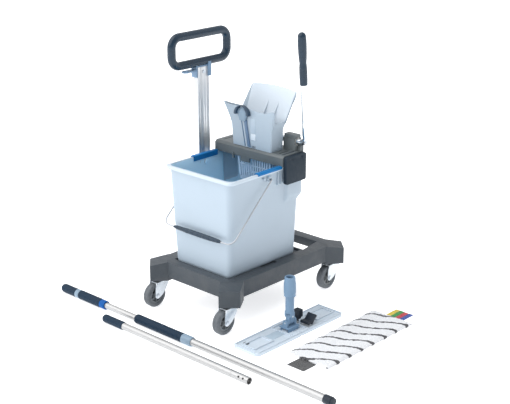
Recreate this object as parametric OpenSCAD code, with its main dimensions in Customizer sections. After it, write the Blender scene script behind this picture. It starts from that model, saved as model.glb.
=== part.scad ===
// Mopping set laid out on the floor: a wheeled trolley with bucket, lever
// wringer and funnel, a flat mop head, a fringe pad, a telescopic pole and a
// short pole. Origin at the bottom centre of the whole set, +X along the
// poles, +Y towards the trolley's back, +Z up. Millimetres.

/* [Layout] */
// Trolley centre from the set's centre, along the poles
cart_x = -112.5; // [-114:0.5:-111]
// Trolley centre from the set's centre, towards the back
cart_y = 61; // [60:0.5:62]
// Mop head centre, from the trolley centre along X
mop_dx = 288; // [284:1:300]
// Mop head centre, from the trolley centre along Y
mop_dy = -93; // [-105:1:-90]
// Pad centre, from the trolley centre along X
pad_dx = 465; // [460:1:480]
// Pad centre, from the trolley centre along Y
pad_dy = -10; // [-20:1:0]

/* [Chassis] */
// Half the width of the trolley frame
frame_half = 165; // [164:0.5:166]
// Front face of the front beam
frame_front = -218; // [-220:1:-216]
// Rear face of the rear beam
frame_rear = 280; // [278:1:282]
// Underside of the beams above the floor
beam_bottom = 100; // [98:1:102]
// Top of the beams above the floor
beam_top = 153; // [152:1:154]
// Deck that the bucket stands on, above the floor
deck_z = 146; // [145:0.5:147]
// Underside of the corner ears above the floor
ear_bottom = 90; // [90:1:92]
// Wall of the moulding
frame_wall = 4; // [3:0.5:5]

/* [Casters] */
// Swivel axis from the centre line
caster_x = 154; // [153:0.5:155]
// Front swivel axes
caster_front = -214; // [-215:0.5:-213]
// Rear swivel axes
caster_rear = 274; // [273:0.5:275]
// Wheel radius
wheel_r = 40; // [39:0.5:40]
// Tyre width
tyre_w = 24; // [20:1:25]
// Distance that the wheel trails its swivel axis
trail = 30; // [26:1:32]

/* [Handle] */
// Centre plane of the post and the ring handle
post_x = -170; // [-172:0.5:-170]
// Centre of the post along Y
post_y = -3; // [-6:1:0]
// Top of the post above the floor
post_top = 742; // [735:1:745]
// Outer length of the ring handle
ring_l = 270; // [260:1:290]
// Outer height of the ring handle
ring_h = 117; // [110:1:125]
// Radius of the ring handle's tube
ring_r = 13.5; // [12:0.5:14]
// Lowest point of the ring handle
ring_z = 743; // [743:1:746]

/* [Bucket] */
// Top of the rolled rim above the floor
rim_top = 466; // [465:0.5:467]
// Height of the rolled rim
rim_h = 10; // [8:0.5:12]
// Wall of the bucket
bucket_wall = 3; // [2.5:0.5:3.5]
// Bail pivot along Y
bail_y = -24; // [-26:1:-22]
// Bail pivot above the floor
bail_z = 440; // [438:1:442]
// Distance from the bail pivot to its cross bar
bail_l = 243; // [241:1:245]
// Angle of the resting bail below horizontal
bail_rest = 43.5; // [43:0.5:44]

/* [Wringer] */
// Top of the wringer frame above the floor
wring_top = 500; // [499:0.5:501]
// Lever and press shaft axis along Y
shaft_y = 111; // [110:0.5:112]
// Lever and press shaft axis above the floor
shaft_z = 530; // [529:0.5:531]
// Length of the lever above its shaft
lever_l = 353; // [330:1:360]
// Forward lean of the resting lever
lever_lean = 4.5; // [2:0.5:6]

/* [Poles] */
// Telescopic pole axis, from the trolley centre along Y
long_dy = -370; // [-372:1:-368]
// Short pole axis, from the trolley centre along Y
short_dy = -432; // [-433:1:-430]
// Grip radius of the telescopic pole, which is also its axis height
grip_r = 15; // [14.5:0.5:15]
// Grip radius of the short pole, which is also its axis height
short_grip_r = 13; // [12.5:0.5:13.5]
// Outer radius of the lower telescopic tube
outer_r = 11.5; // [11:0.5:12]
// Outer radius of the sliding tube
inner_r = 10; // [9:0.5:10]
// Outer radius of the short tube
short_r = 11; // [10:0.5:11]

/* [Hidden] */
$fn = 48;
hull_fn = 32;
fit = 0.05;

dark = [0.24, 0.26, 0.28];
navy = [0.11, 0.16, 0.24];
pale = [0.74, 0.80, 0.88];
mid_blue = [0.45, 0.58, 0.74];
bright_blue = [0.05, 0.38, 0.72];
steel = [0.80, 0.81, 0.82];
zinc = [0.72, 0.74, 0.75];
white = [0.90, 0.93, 0.96];
black = [0.07, 0.08, 0.09];
tyre_grey = [0.36, 0.38, 0.40];

// Tray recess around the bucket
tray_half = 121;
tray_front = -184;
tray_rear = 150;
// Opening behind the bucket
opening_front = 157;
opening_rear = 244;
opening_half_front = 126;
opening_half_rear = 112;
rear_beam_bottom = 125;
// Ear outline from its swivel axis, for the front right corner
ear_outline = [[46, -4], [-2, -49], [-39, -4], [-39, 49], [11, 49]];
ear_edge_z = 143;
sleeve_r = 8;
stem_r = 5.5;

// Section of the handle post
post_w = 20;
post_l = 50;
post_foot = 106;
post_wall = 2;

// Bucket outline at its foot and under its rim: width, length, centre along Y, corner radius
foot_size = [234, 307, -26.5, 14];
mouth_size = [274, 322, -29, 24];
rim_size = [290, 340, -30, 20];
collar_z = 351;

axle_r = 4;
fork_gap = tyre_w / 2 + 2;
fork_plate = 3;

wring_left = -145;
wring_right = 147;
wring_front = 29;
wring_back = 128;
hole_left = -58;
hole_right = 90;
hole_front = 38;
hole_back = 98;
shaft_r = 6;
bush_r = 9;

mop_half_w = 51;
mop_half_l = 200;
wing_axis_y = 8.5;
wing_axis_z = 7;
pin_r = 2.5;
tilt_x_z = 52;
tilt_y_z = 33;
socket_r = 11.2;

// Everything on the trolley is drawn from the trolley's own centre
module on_cart() {
    translate([cart_x, cart_y, 0]) children();
}

module at_mop() {
    translate([cart_x + mop_dx, cart_y + mop_dy, 0]) children();
}

module box(low, high) {
    translate(low) cube(high - low);
}

module xcyl(r, x0, x1, y = 0, z = 0) {
    translate([x0, y, z]) rotate([0, 90, 0]) cylinder(r = r, h = x1 - x0);
}

module ycyl(r, y0, y1, x = 0, z = 0) {
    translate([x, y0, z]) rotate([-90, 0, 0]) cylinder(r = r, h = y1 - y0);
}

module zcyl(r, z0, z1, x = 0, y = 0) {
    translate([x, y, z0]) cylinder(r = r, h = z1 - z0);
}

module xtube(r_out, r_in, x0, x1) {
    difference() {
        xcyl(r_out, x0, x1);
        xcyl(r_in, x0 - 1, x1 + 1);
    }
}

// Rectangle with round corners: width along X, length along Y
module round_rect(w, l, r) {
    square([w - 2 * r, l], center = true);
    square([w, l - 2 * r], center = true);
    for (sx = [-1, 1])
        for (sy = [-1, 1])
            translate([sx * (w / 2 - r), sy * (l / 2 - r)]) circle(r);
}

// Thin slice of a bucket outline at one height
module slice(size, z, inset = 0) {
    translate([0, size[2], z])
        linear_extrude(0.01)
            round_rect(size[0] - 2 * inset, size[1] - 2 * inset, size[3] - inset, $fn = hull_fn);
}

// Quarter bend in the XY plane from (r, 0) to (0, r)
module bend(bend_r, tube_r) {
    rotate_extrude(angle = 90) translate([bend_r, 0]) circle(tube_r);
}

function caster_place(sx, sy) = [sx * caster_x, sy < 0 ? caster_front : caster_rear, 0];

// ---- Chassis ----

module ear_solid(sx, sy, shrink, z0, z1) {
    translate(caster_place(sx, sy))
        mirror([sx < 0 ? 1 : 0, 0, 0])
            mirror([0, sy < 0 ? 0 : 1, 0])
                translate([0, 0, z0]) linear_extrude(z1 - z0) scale(shrink) polygon(ear_outline);
}

// The ear's top falls from the beam's top to a lower outer edge
module ear_slope(sx, sy) {
    slope = 10.3;
    edge_out = 33;
    translate(caster_place(sx, sy))
        mirror([sx < 0 ? 1 : 0, 0, 0])
            mirror([0, sy < 0 ? 0 : 1, 0])
                rotate([0, 0, -46.8])
                    translate([edge_out, 0, ear_edge_z]) rotate([0, slope, 0])
                        translate([-54, -60, 0]) cube([120, 120, 30]);
}

module frame_block() {
    difference() {
        box([-frame_half, frame_front, beam_bottom], [frame_half, frame_rear, beam_top]);
        translate([0, 0, beam_bottom - 1]) linear_extrude(60)
            polygon([
                [-opening_half_front, opening_front], [opening_half_front, opening_front],
                [opening_half_rear, opening_rear], [-opening_half_rear, opening_rear]
            ]);
        box([-opening_half_rear, opening_rear - 1, beam_bottom - 1],
            [opening_half_rear, frame_rear + 1, rear_beam_bottom]);
    }
}

// Hollows that leave the beams as ribbed channels, open below
module under_pockets() {
    low = beam_bottom - 1;
    rib = frame_wall;
    tray_w = 2 * 117;
    cell_w = (tray_w - rib) / 2;
    cell_l = 77;
    for (i = [0, 1])
        for (j = [0:3])
            translate([-117 + i * (cell_w + rib), -176 + j * (cell_l + rib), low])
                cube([cell_w, cell_l, deck_z - frame_wall - low]);
    for (sx = [-1, 1]) {
        for (j = [0:3])
            translate([sx * 143 - 18, -158 + j * 76, low]) cube([36, 72, beam_top - frame_wall - low]);
        translate([sx * 146 - 15, 156, low]) cube([30, 62, beam_top - frame_wall - low]);
        translate([sx * 55 - 52, frame_front + frame_wall, low])
            cube([104, 26, beam_top - frame_wall - low]);
        translate([sx * 54 - 51, 248, rear_beam_bottom - 1])
            cube([102, 28, beam_top - frame_wall - rear_beam_bottom + 1]);
    }
}

module chassis() {
    socket = [post_x, post_y, post_foot];
    color(dark) on_cart() difference() {
        union() {
            difference() {
                union() {
                    frame_block();
                    for (sx = [-1, 1])
                        for (sy = [-1, 1]) ear_solid(sx, sy, 1, ear_bottom, beam_top);
                }
                for (sx = [-1, 1])
                    for (sy = [-1, 1]) {
                        ear_solid(sx, sy, 0.84, ear_bottom - 1, ear_edge_z - 6);
                        ear_slope(sx, sy);
                    }
                under_pockets();
            }
            for (sx = [-1, 1])
                for (sy = [-1, 1])
                    translate(caster_place(sx, sy)) zcyl(13, ear_bottom, ear_edge_z - 4);
            box([post_x - 18, post_y - 34, beam_bottom], [post_x + 20, post_y + 34, 188]);
        }
        box([-tray_half, tray_front, deck_z], [tray_half, tray_rear, beam_top + 1]);
        // Finger notches in the side beams
        for (sx = [-1, 1])
            box([sx * 128 - 8, -47, deck_z], [sx * 128 + 8, 20, beam_top + 1]);
        // Socket for the post
        translate(socket) translate([-post_w / 2 - 0.2, -post_l / 2 - 0.2, 0])
            cube([post_w + 0.4, post_l + 0.4, 100]);
        for (z = [132, 166]) xcyl(2.6, post_x - 30, post_x, post_y, z);
        for (sx = [-1, 1])
            for (sy = [-1, 1])
                translate(caster_place(sx, sy)) zcyl(sleeve_r, ear_bottom - 1, 136);
    }
}

module caster_sleeves() {
    color(steel) on_cart()
        for (sx = [-1, 1])
            for (sy = [-1, 1])
                translate(caster_place(sx, sy)) difference() {
                    zcyl(sleeve_r, ear_bottom, 136);
                    zcyl(stem_r + fit, ear_bottom - 1, 137);
                }
}

// ---- Push handle ----

module post_section() {
    groove = 3;
    difference() {
        square([post_w, post_l], center = true);
        square([post_w - 2 * post_wall, post_l - 26], center = true);
        for (sy = [-1, 1]) {
            translate([0, sy * 20]) square([post_w - 2 * post_wall, 8], center = true);
            for (sx = [-1, 1])
                translate([sx * post_w / 2, sy * 14]) square([1.6, groove], center = true);
        }
    }
}

module handle_post() {
    color(steel) on_cart() difference() {
        translate([post_x, post_y, post_foot]) linear_extrude(post_top - post_foot) post_section();
        for (z = [132, 166]) xcyl(2.6, post_x - 20, post_x, post_y, z);
        xcyl(2.6, post_x, post_x + 20, post_y, 726);
    }
}

module side_screw(x, dir, z, head_r) {
    translate([x, post_y, z]) mirror([dir < 0 ? 1 : 0, 0, 0]) difference() {
        union() {
            xcyl(2.5, -10, 0.1);
            xcyl(head_r, 0, 2.6);
        }
        xcyl(2.2, 1.2, 3, $fn = 6);
    }
}

module frame_screws() {
    color(zinc) on_cart() {
        for (z = [132, 166]) side_screw(post_x - 18, -1, z, 5);
        side_screw(post_x + post_w / 2, 1, 726, 5);
    }
}

// Closed ring in the YZ plane, built from four bars and four bends
module push_handle() {
    bend_r = 31;
    hy = ring_l / 2 - ring_r - bend_r;
    hz = ring_h / 2 - ring_r - bend_r;
    color(navy) on_cart()
        translate([post_x, post_y - 6, ring_z + ring_h / 2]) rotate([0, 0, 90]) rotate([90, 0, 0]) {
            for (s = [-1, 1]) {
                translate([-hy, s * (hz + bend_r), 0]) rotate([0, 90, 0])
                    cylinder(r = ring_r, h = 2 * hy);
                translate([s * (hy + bend_r), -hz, 0]) rotate([-90, 0, 0])
                    cylinder(r = ring_r, h = 2 * hz);
            }
            for (q = [0:3]) {
                sx = (q == 0 || q == 3) ? 1 : -1;
                sy = q < 2 ? 1 : -1;
                translate([sx * hy, sy * hz, 0]) rotate([0, 0, 90 * q]) bend(bend_r, ring_r);
            }
        }
}

module handle_collar() {
    low = 710;
    saddle_z = ring_z + ring_r;
    color(mid_blue) on_cart() difference() {
        union() {
            box([post_x - 14, post_y - 30, low], [post_x + 14, post_y + 30, saddle_z]);
            box([post_x - 12, post_y - 33, low + 10], [post_x + 12, post_y + 33, saddle_z - 6]);
        }
        translate([post_x - post_w / 2 - 0.1, post_y - post_l / 2 - 0.1, low - 1])
            cube([post_w + 0.2, post_l + 0.2, post_top - low + 1]);
        ycyl(ring_r + fit, post_y - 80, post_y + 80, post_x, saddle_z);
        // Window that leaves the post bare towards the bucket
        box([post_x + post_w / 2 - 1, post_y - 31, low - 1], [post_x + 15, post_y + 17, saddle_z + 1]);
    }
}

// Eye in front of the collar, for hanging up a cloth or a tool
eye_y = -72;
module hanging_eye() {
    reach = post_y - 33 - eye_y;
    color(mid_blue) on_cart() translate([post_x, eye_y, 731]) difference() {
        union() {
            zcyl(13, 0, 5);
            box([-11, 0, 0], [11, reach, 5]);
        }
        zcyl(8, -1, 6);
    }
}

// ---- Casters ----

module fork_leg() {
    rotate([90, 0, 90]) linear_extrude(fork_plate) difference() {
        union() {
            translate([-trail, wheel_r]) circle(10);
            polygon([
                [-34, 84], [20, 84], [14, 70], [6, 56], [-11, 38], [-26, 30.8], [-35, 34],
                [-40, 48], [-39, 66]
            ]);
        }
        translate([-trail, wheel_r]) circle(axle_r + fit);
    }
}

module caster_fork(sx, sy) {
    color(zinc) on_cart() translate(caster_place(sx, sy)) {
        zcyl(stem_r, 82, 132);
        zcyl(19, 81, 87);
        zcyl(13, 86, 89.5);
        box([-fork_gap - fork_plate, -34, 81], [fork_gap + fork_plate, 20, 84]);
        for (side = [-fork_gap - fork_plate, fork_gap]) translate([side, 0, 0]) fork_leg();
    }
}

module at_wheel(sx, sy) {
    on_cart() translate(caster_place(sx, sy) + [0, -trail, wheel_r]) children();
}

module caster_axle(sx, sy) {
    end = fork_gap + fork_plate;
    color(zinc) at_wheel(sx, sy) {
        xcyl(axle_r, -end - 1, end + 1);
        xcyl(7, end, end + 3.5, $fn = 6);
        xcyl(7, -end - 3, -end);
    }
}

module wheel_hub(sx, sy) {
    color(tyre_grey) at_wheel(sx, sy) rotate([0, 90, 0]) rotate_extrude()
        polygon([
            [axle_r + fit, -13], [10, -13], [11, -6], [22, -4], [23, -9.5], [27, -9.5],
            [27, 9.5], [23, 9.5], [22, 4], [11, 6], [10, 13], [axle_r + fit, 13]
        ]);
}

module wheel_tyre(sx, sy) {
    shoulder = 6;
    color(tyre_grey) at_wheel(sx, sy) rotate([0, 90, 0]) rotate_extrude() difference() {
        union() {
            translate([27, -tyre_w / 2]) square([wheel_r - 27 - shoulder, tyre_w]);
            translate([27, -tyre_w / 2 + shoulder]) square([wheel_r - 27, tyre_w - 2 * shoulder]);
            for (s = [-1, 1])
                translate([wheel_r - shoulder, s * (tyre_w / 2 - shoulder)]) circle(shoulder);
        }
        translate([20, -20]) square([7, 40]);
    }
}

// ---- Bucket ----

// Bucket outline at a height, carried on along the taper
function outline_at(z) = foot_size + (mouth_size - foot_size) * (z - deck_z) / (rim_top - rim_h - deck_z);

module collar_slice(w, l, r, z, inset) {
    translate([0, 140 - l / 2 - (141 - w / 2) * 0.6, z]) linear_extrude(0.01)
        round_rect(w - 2 * inset, l - 2 * inset, r, $fn = hull_fn);
}

// Wider stretch behind the bail, where the wringer hooks on
module rear_collar(inset) {
    hull() {
        collar_slice(262, 72, 18, collar_z - 14, inset);
        collar_slice(282, 82, 20, collar_z + 4, inset);
        collar_slice(282, 82, 20, rim_top - rim_h + inset, inset);
    }
}

module bucket() {
    color(pale) on_cart() difference() {
        union() {
            hull() {
                slice(outline_at(deck_z), deck_z);
                slice(outline_at(rim_top - rim_h), rim_top - rim_h);
            }
            rear_collar(0);
            translate([0, rim_size[2], rim_top - rim_h])
                linear_extrude(rim_h) round_rect(rim_size[0], rim_size[1], rim_size[3]);
            for (sx = [-1, 1]) {
                xcyl(9, sx * 137.5 - 7.5, sx * 137.5 + 7.5, bail_y, bail_z);
                xcyl(4, sx * 136.5 - 4.5, sx * 136.5 + 4.5, bail_y - 24, bail_z + 4);
                for (y = [17, 31, 45])
                    box([sx * 138 - 3.5, y - 1.5, 410], [sx * 138 + 3.5, y + 1.5, rim_top - rim_h]);
            }
        }
        hull() {
            slice(outline_at(deck_z + 4), deck_z + 4, bucket_wall);
            slice(outline_at(rim_top + 1), rim_top + 1, bucket_wall);
        }
        rear_collar(bucket_wall);
        for (sx = [-1, 1]) xcyl(pin_r + fit, sx * 140 - 10, sx * 140 + 10, bail_y, bail_z);
    }
}

bail_half = 151;
bail_wire_r = 2.5;
bail_bend = 25;

// Bail drawn flat towards -Y and turned down to its rest
module at_bail() {
    on_cart() translate([0, bail_y, bail_z]) rotate([bail_rest, 0, 0]) children();
}

module bail_wire() {
    reach = bail_l - bail_bend;
    color(steel) at_bail() {
        for (sx = [-1, 1]) {
            xcyl(bail_wire_r, sx * 141.5 - 9.5, sx * 141.5 + 9.5);
            translate([sx * bail_half, 0, 0]) sphere(bail_wire_r);
            ycyl(bail_wire_r, -reach, 0, sx * bail_half);
            translate([sx * (bail_half - bail_bend), -reach, 0]) mirror([sx < 0 ? 1 : 0, 0, 0])
                rotate([0, 0, -90]) bend(bail_bend, bail_wire_r);
        }
        xcyl(bail_wire_r, bail_bend - bail_half, bail_half - bail_bend, -bail_l);
    }
}

module bail_grip() {
    color(navy) at_bail() translate([0, -bail_l, 0]) rotate([0, 90, 0]) rotate_extrude()
        polygon([
            [bail_wire_r, -103], [4, -103], [6.2, -88], [7.4, -50], [7.8, 0], [7.4, 50],
            [6.2, 88], [4, 103], [bail_wire_r, 103]
        ]);
}

// Clips that snap over the side rims, with a flange hanging down inside
module rim_clips() {
    color(bright_blue) on_cart()
        for (sx = [-1, 1]) mirror([sx < 0 ? 1 : 0, 0, 0]) difference() {
            box([130.8, -80, rim_top - 14], [147, 28, rim_top + 3.5]);
            box([133.3, -81, rim_top - 15], [145, 29, rim_top]);
            box([140, -81, rim_top - 15], [148, 29, rim_top - 5]);
        }
}

// ---- Wringer ----

module bearing_block(x0, x1) {
    difference() {
        union() {
            box([x0, shaft_y - 12, wring_top - 1], [x1, shaft_y + 20, shaft_z + 8]);
            box([x0, shaft_y - 8, shaft_z], [x1, shaft_y + 16, shaft_z + 20]);
        }
        xcyl(bush_r, x0 - 1, x1 + 1, shaft_y, shaft_z);
    }
}

module wringer_frame() {
    skirt = 33.5;
    bevel = [8, 7];
    arm_slots = [[-31, -11], [51, 71]];
    color(dark) on_cart() difference() {
        union() {
            difference() {
                translate([wring_left, 0, wring_top]) rotate([90, 0, 90])
                    linear_extrude(wring_right - wring_left)
                        polygon([
                            [wring_front, -skirt], [wring_back, -skirt], [wring_back, 0],
                            [wring_front + bevel[0], 0], [wring_front, -bevel[1]]
                        ]);
                // Hollow below the top plate, beside and around the basket
                for (x = [[wring_left + 5, -104], [-100, hole_left - 5], [hole_right + 5, wring_right - 5]])
                    box([x[0], wring_front + 7, wring_top - skirt - 1],
                        [x[1], wring_back - 5, wring_top - 6]);
                box([hole_left, hole_back + 5, wring_top - skirt - 1],
                    [hole_right, wring_back - 5, wring_top - 6]);
            }
            // Feet on the side rims
            box([wring_left, wring_front, rim_top], [wring_left + 12, wring_back, wring_top - skirt + 1]);
            box([wring_right - 14, wring_front, rim_top], [wring_right, wring_back, wring_top - skirt + 1]);
            bearing_block(-50, -32);
            bearing_block(88, 135);
            box([136, wring_back - 16, wring_top - 1], [wring_right, wring_back, wring_top + 15]);
            // Catches under the front edge
            box([-32, wring_front, 452], [6, wring_front + 4, wring_top - skirt + 1]);
            box([-66, wring_front - 3, 455], [-60, wring_front + 4, wring_top - skirt + 8]);
        }
        box([hole_left, hole_front, wring_top - 40], [hole_right, hole_back, wring_top + 1]);
        for (s = arm_slots)
            box([s[0], hole_back - 1, wring_top - 40], [s[1], shaft_y + 7, wring_top + 1]);
        // Slots in the top at both ends
        box([113, 48, wring_top - 4], [119, 94, wring_top + 1]);
        box([-128, 48, wring_top - 4], [-122, 116, wring_top + 1]);
        for (y = [58, 104])
            xcyl(2.1, wring_right - 12, wring_right + 1, y, 488);
    }
}

module side_cover() {
    color(dark) on_cart() difference() {
        union() {
            translate([wring_right, 0, 0]) rotate([90, 0, 90]) linear_extrude(13)
                polygon([[33, 414], [37, 410], [122, 410], [126, 414], [126, 494], [120, 498], [33, 498]]);
        }
        box([wring_right - 1, 37, 406], [wring_right + 9, 122, 476]);
        for (y = [58, 104]) {
            xcyl(2.1, wring_right - 1, wring_right + 14, y, 488);
            xcyl(4.5, wring_right + 10, wring_right + 14, y, 488);
        }
    }
}

module cover_screws() {
    color(zinc) on_cart()
        for (y = [58, 104]) {
            xcyl(2, wring_right - 10, wring_right + 10.1, y, 488);
            difference() {
                xcyl(4.2, wring_right + 10, wring_right + 12.6, y, 488);
                xcyl(1.8, wring_right + 11.4, wring_right + 13, y, 488, $fn = 6);
            }
        }
}

// Basket with slatted front and sides, open at the back for the press plate
module sieve_basket() {
    wall = 2.5;
    slat_pitch = 10;
    slot = 5.5;
    color(pale) on_cart() difference() {
        union() {
            hull() {
                box([-57.7, 39, 492], [89.7, 97.5, 494]);
                box([-48, 43.5, 388], [80, 97.5, 389]);
            }
            box([-57.7, 38.3, 490], [89.7, 97.5, wring_top - 0.2]);
        }
        hull() {
            box([-57.7 + wall, 39 + wall, 500], [89.7 - wall, 99, 502]);
            box([-48 + wall, 43.5 + wall, 391], [80 - wall, 99, 392]);
        }
        for (i = [0:12])
            translate([-47 + i * slat_pitch, 36, 398]) cube([slot, 12, 82]);
        for (j = [0:3])
            translate([-70, 53 + j * slat_pitch, 398]) cube([170, slot, 82]);
        for (i = [0:12])
            translate([-47 + i * slat_pitch, 50, 386]) cube([slot, 42, 8]);
    }
}

module press_plate() {
    hubs = [[-27, -15], [55, 67]];
    color(mid_blue) on_cart() {
        box([-40, 92, 402], [72, 96, 486]);
        for (i = [0:10])
            translate([-36 + i * 10, 90, 406]) cube([4, 3, 76]);
        for (h = hubs) {
            difference() {
                union() {
                    xcyl(9.4, h[0], h[1], shaft_y, shaft_z);
                    box([h[0], 104.5, 478], [h[1], 110.5, shaft_z]);
                    box([h[0], 95, 468], [h[1], 110.5, 480]);
                }
                xcyl(shaft_r + fit, h[0] - 1, h[1] + 1, shaft_y, shaft_z);
            }
        }
    }
}

module press_shaft() {
    color(zinc) on_cart() translate([0, shaft_y, shaft_z]) {
        xcyl(shaft_r, -54, 137);
        xcyl(8, 136.9, 150);
    }
}

module shaft_bushes() {
    color(steel) on_cart() translate([0, shaft_y, shaft_z]) {
        xtube(bush_r, shaft_r + fit, -50, -32);
        xtube(bush_r, shaft_r + fit, 88, 135);
        xtube(bush_r + 2, shaft_r + fit, 135, 136.5);
        xtube(bush_r + 2, shaft_r + fit, 86.5, 88);
    }
}

// Torsion coil, with a leg on the frame and a leg towards the lever's side
spring_turns = 6;
spring_steps = 20;
spring_r = 8.4;
spring_wire = 1;
spring_pitch = 2.3;
function spring_point(i) = [
    69.5 + spring_pitch * i / spring_steps,
    spring_r * cos(360 * i / spring_steps),
    spring_r * sin(360 * i / spring_steps)
];
function spring_ring(i, sides) = [
    for (s = [0:sides - 1])
        let (a = 360 * s / sides, t = 360 * i / spring_steps, r = spring_r + spring_wire * cos(a))
            [spring_point(i)[0] + spring_wire * sin(a), r * cos(t), r * sin(t)]
];

module return_spring() {
    sides = 8;
    rings = spring_turns * spring_steps;
    points = [for (i = [0:rings]) each spring_ring(i, sides)];
    walls = [
        for (i = [0:rings - 1])
            for (s = [0:sides - 1])
                let (a = i * sides + s, b = i * sides + (s + 1) % sides)
                    [a, b, b + sides, a + sides]
    ];
    caps = [
        [for (s = [0:sides - 1]) sides - 1 - s],
        [for (s = [0:sides - 1]) rings * sides + s]
    ];
    color(zinc) on_cart() translate([0, shaft_y, shaft_z])
        polyhedron(points = points, faces = concat(walls, caps));
}

module at_lever() {
    on_cart() translate([0, shaft_y, shaft_z]) rotate([lever_lean, 0, 0]) children();
}

lever_bend = 20;
lever_x = 171;
lever_r = 10;

module lever_path(r, over) {
    xcyl(r, 138 - over, lever_x - lever_bend + 0.01);
    translate([lever_x - lever_bend, 0, lever_bend]) rotate([90, 0, 0]) rotate([0, 0, -90])
        bend(lever_bend, r);
    zcyl(r, lever_bend - 0.01, lever_l - 8 + over, lever_x);
}

module lever_tube() {
    color(steel) at_lever() difference() {
        lever_path(lever_r, 0);
        lever_path(lever_r - 2, 1);
    }
}

module lever_grip() {
    z0 = 188;
    color(navy) at_lever() translate([lever_x, 0, 0]) difference() {
        union() {
            rotate_extrude() polygon([
                [0, z0], [12.6, z0], [13.4, z0 + 4], [13.4, z0 + 26], [12.4, z0 + 44],
                [11.6, z0 + 60], [12.2, z0 + 80], [13.5, z0 + 104], [13.9, z0 + 128],
                [13.9, lever_l - 13.9], [0, lever_l - 13.9]
            ]);
            translate([0, 0, lever_l - 13.9]) sphere(13.9);
        }
        zcyl(lever_r, z0 - 1, lever_l - 8);
    }
}

// ---- Funnel ----

// Slanted back panel, from the front of its foot at z = 566
module funnel_panel() {
    lean = 23.3;
    height = 129;
    arc_r = 560;
    translate([0, 93, 566]) rotate([90 - lean, 0, 0]) translate([0, 0, -2.6])
        linear_extrude(2.6) intersection() {
            polygon([
                [-76, -4], [96, -4], [96, 22], [110.5, height + 6], [-83, height + 6], [-97, 44],
                [-90, 20]
            ]);
            translate([12, height - arc_r]) circle(arc_r, $fn = 360);
        }
}

module funnel() {
    wall = 2.5;
    front = 35;
    fold = 566;
    foot_corner = [-77, 90, fold - 2];
    back_corner = [-95, 108.6, 606];
    front_corner = [-108, front + 0.6, 629];
    color(pale) on_cart() {
        // Lower box
        difference() {
            hull() {
                box([-73, front, wring_top], [93, 93, wring_top + 1]);
                box([-78, front, fold - 1], [99, 93, fold]);
            }
            hull() {
                box([-73 + wall, front + wall, wring_top - 1], [93 - wall, 93 - wall, wring_top]);
                box([-78 + wall, front + wall, fold], [99 - wall, 93 - wall, fold + 1]);
            }
            // Drain slots at the foot of the front wall
            for (x = [12, 18, 24]) box([x, front - 1, wring_top - 1], [x + 3, front + 4, wring_top + 8]);
        }
        // Raised pad beside the hook's strap
        box([9, front - 1.5, 527], [29, front + 1, 551]);
        // Front wall with its flared corners
        translate([0, front + wall, fold]) rotate([90, 0, 0]) linear_extrude(wall)
            polygon([
                [-77, -1], [98, -1], [103, 26], [107.5, 56], [105, 63], [97, 65], [88, 61], [76, 56],
                [55, 54], [13, 56], [-8, 59], [-69, 60], [-98, 61], [-104, 66], [-109, 66],
                [-104, 52], [-92, 32]
            ]);
        // Left wall, two thin facets from the flared corner to the back panel
        for (corner = [[foot_corner, back_corner], [back_corner, front_corner]])
            hull() {
                box([-77, front + 0.6, fold - 2], [-75.4, front + 2.2, fold - 1]);
                for (at = corner) box(at, at + [1.6, 1.6, 1.6]);
            }
        // Low right wall
        hull() {
            box([96.2, front + 0.6, fold - 2], [97.8, 92, fold - 1]);
            box([100.4, front + 0.6, 589], [102, 101, 590.5]);
        }
        // Flange that carries the front wall's right corner round
        hull() {
            box([100.2, front + 0.6, 586], [101.8, front + 11, 590]);
            box([105, front + 0.6, 626], [106.6, front + 6, 627.5]);
        }
        funnel_panel();
        // Guide fins on the back panel
        for (x = [3, 45])
            translate([x, 93, fold]) rotate([90, 0, 90]) linear_extrude(3)
                polygon([[44.3, 100], [-6, 44], [-6, -6], [-1, -6], [1.2, 0]]);
    }
}

module funnel_hook() {
    head_x = -23;
    head_z = 603;
    outer = 31;
    inner = 24;
    color(mid_blue) on_cart() {
        // Strap down the front wall
        translate([0, 35, 0]) rotate([90, 0, 0]) linear_extrude(4)
            polygon([[-16, 503], [8, 503], [-11, 604], [-36, 604]]);
        // Umbrella-shaped head: an arch that leans forward over a lower dome
        translate([head_x, 35, head_z]) rotate([90, 0, 0]) {
            linear_extrude(14) intersection() {
                difference() {
                    circle(outer);
                    circle(inner);
                }
                translate([-outer, 0]) square([2 * outer, outer]);
            }
            linear_extrude(7) intersection() {
                circle(inner + 1);
                translate([-outer, 0]) square([2 * outer, outer]);
            }
        }
    }
}

// ---- Flat mop head ----

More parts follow.
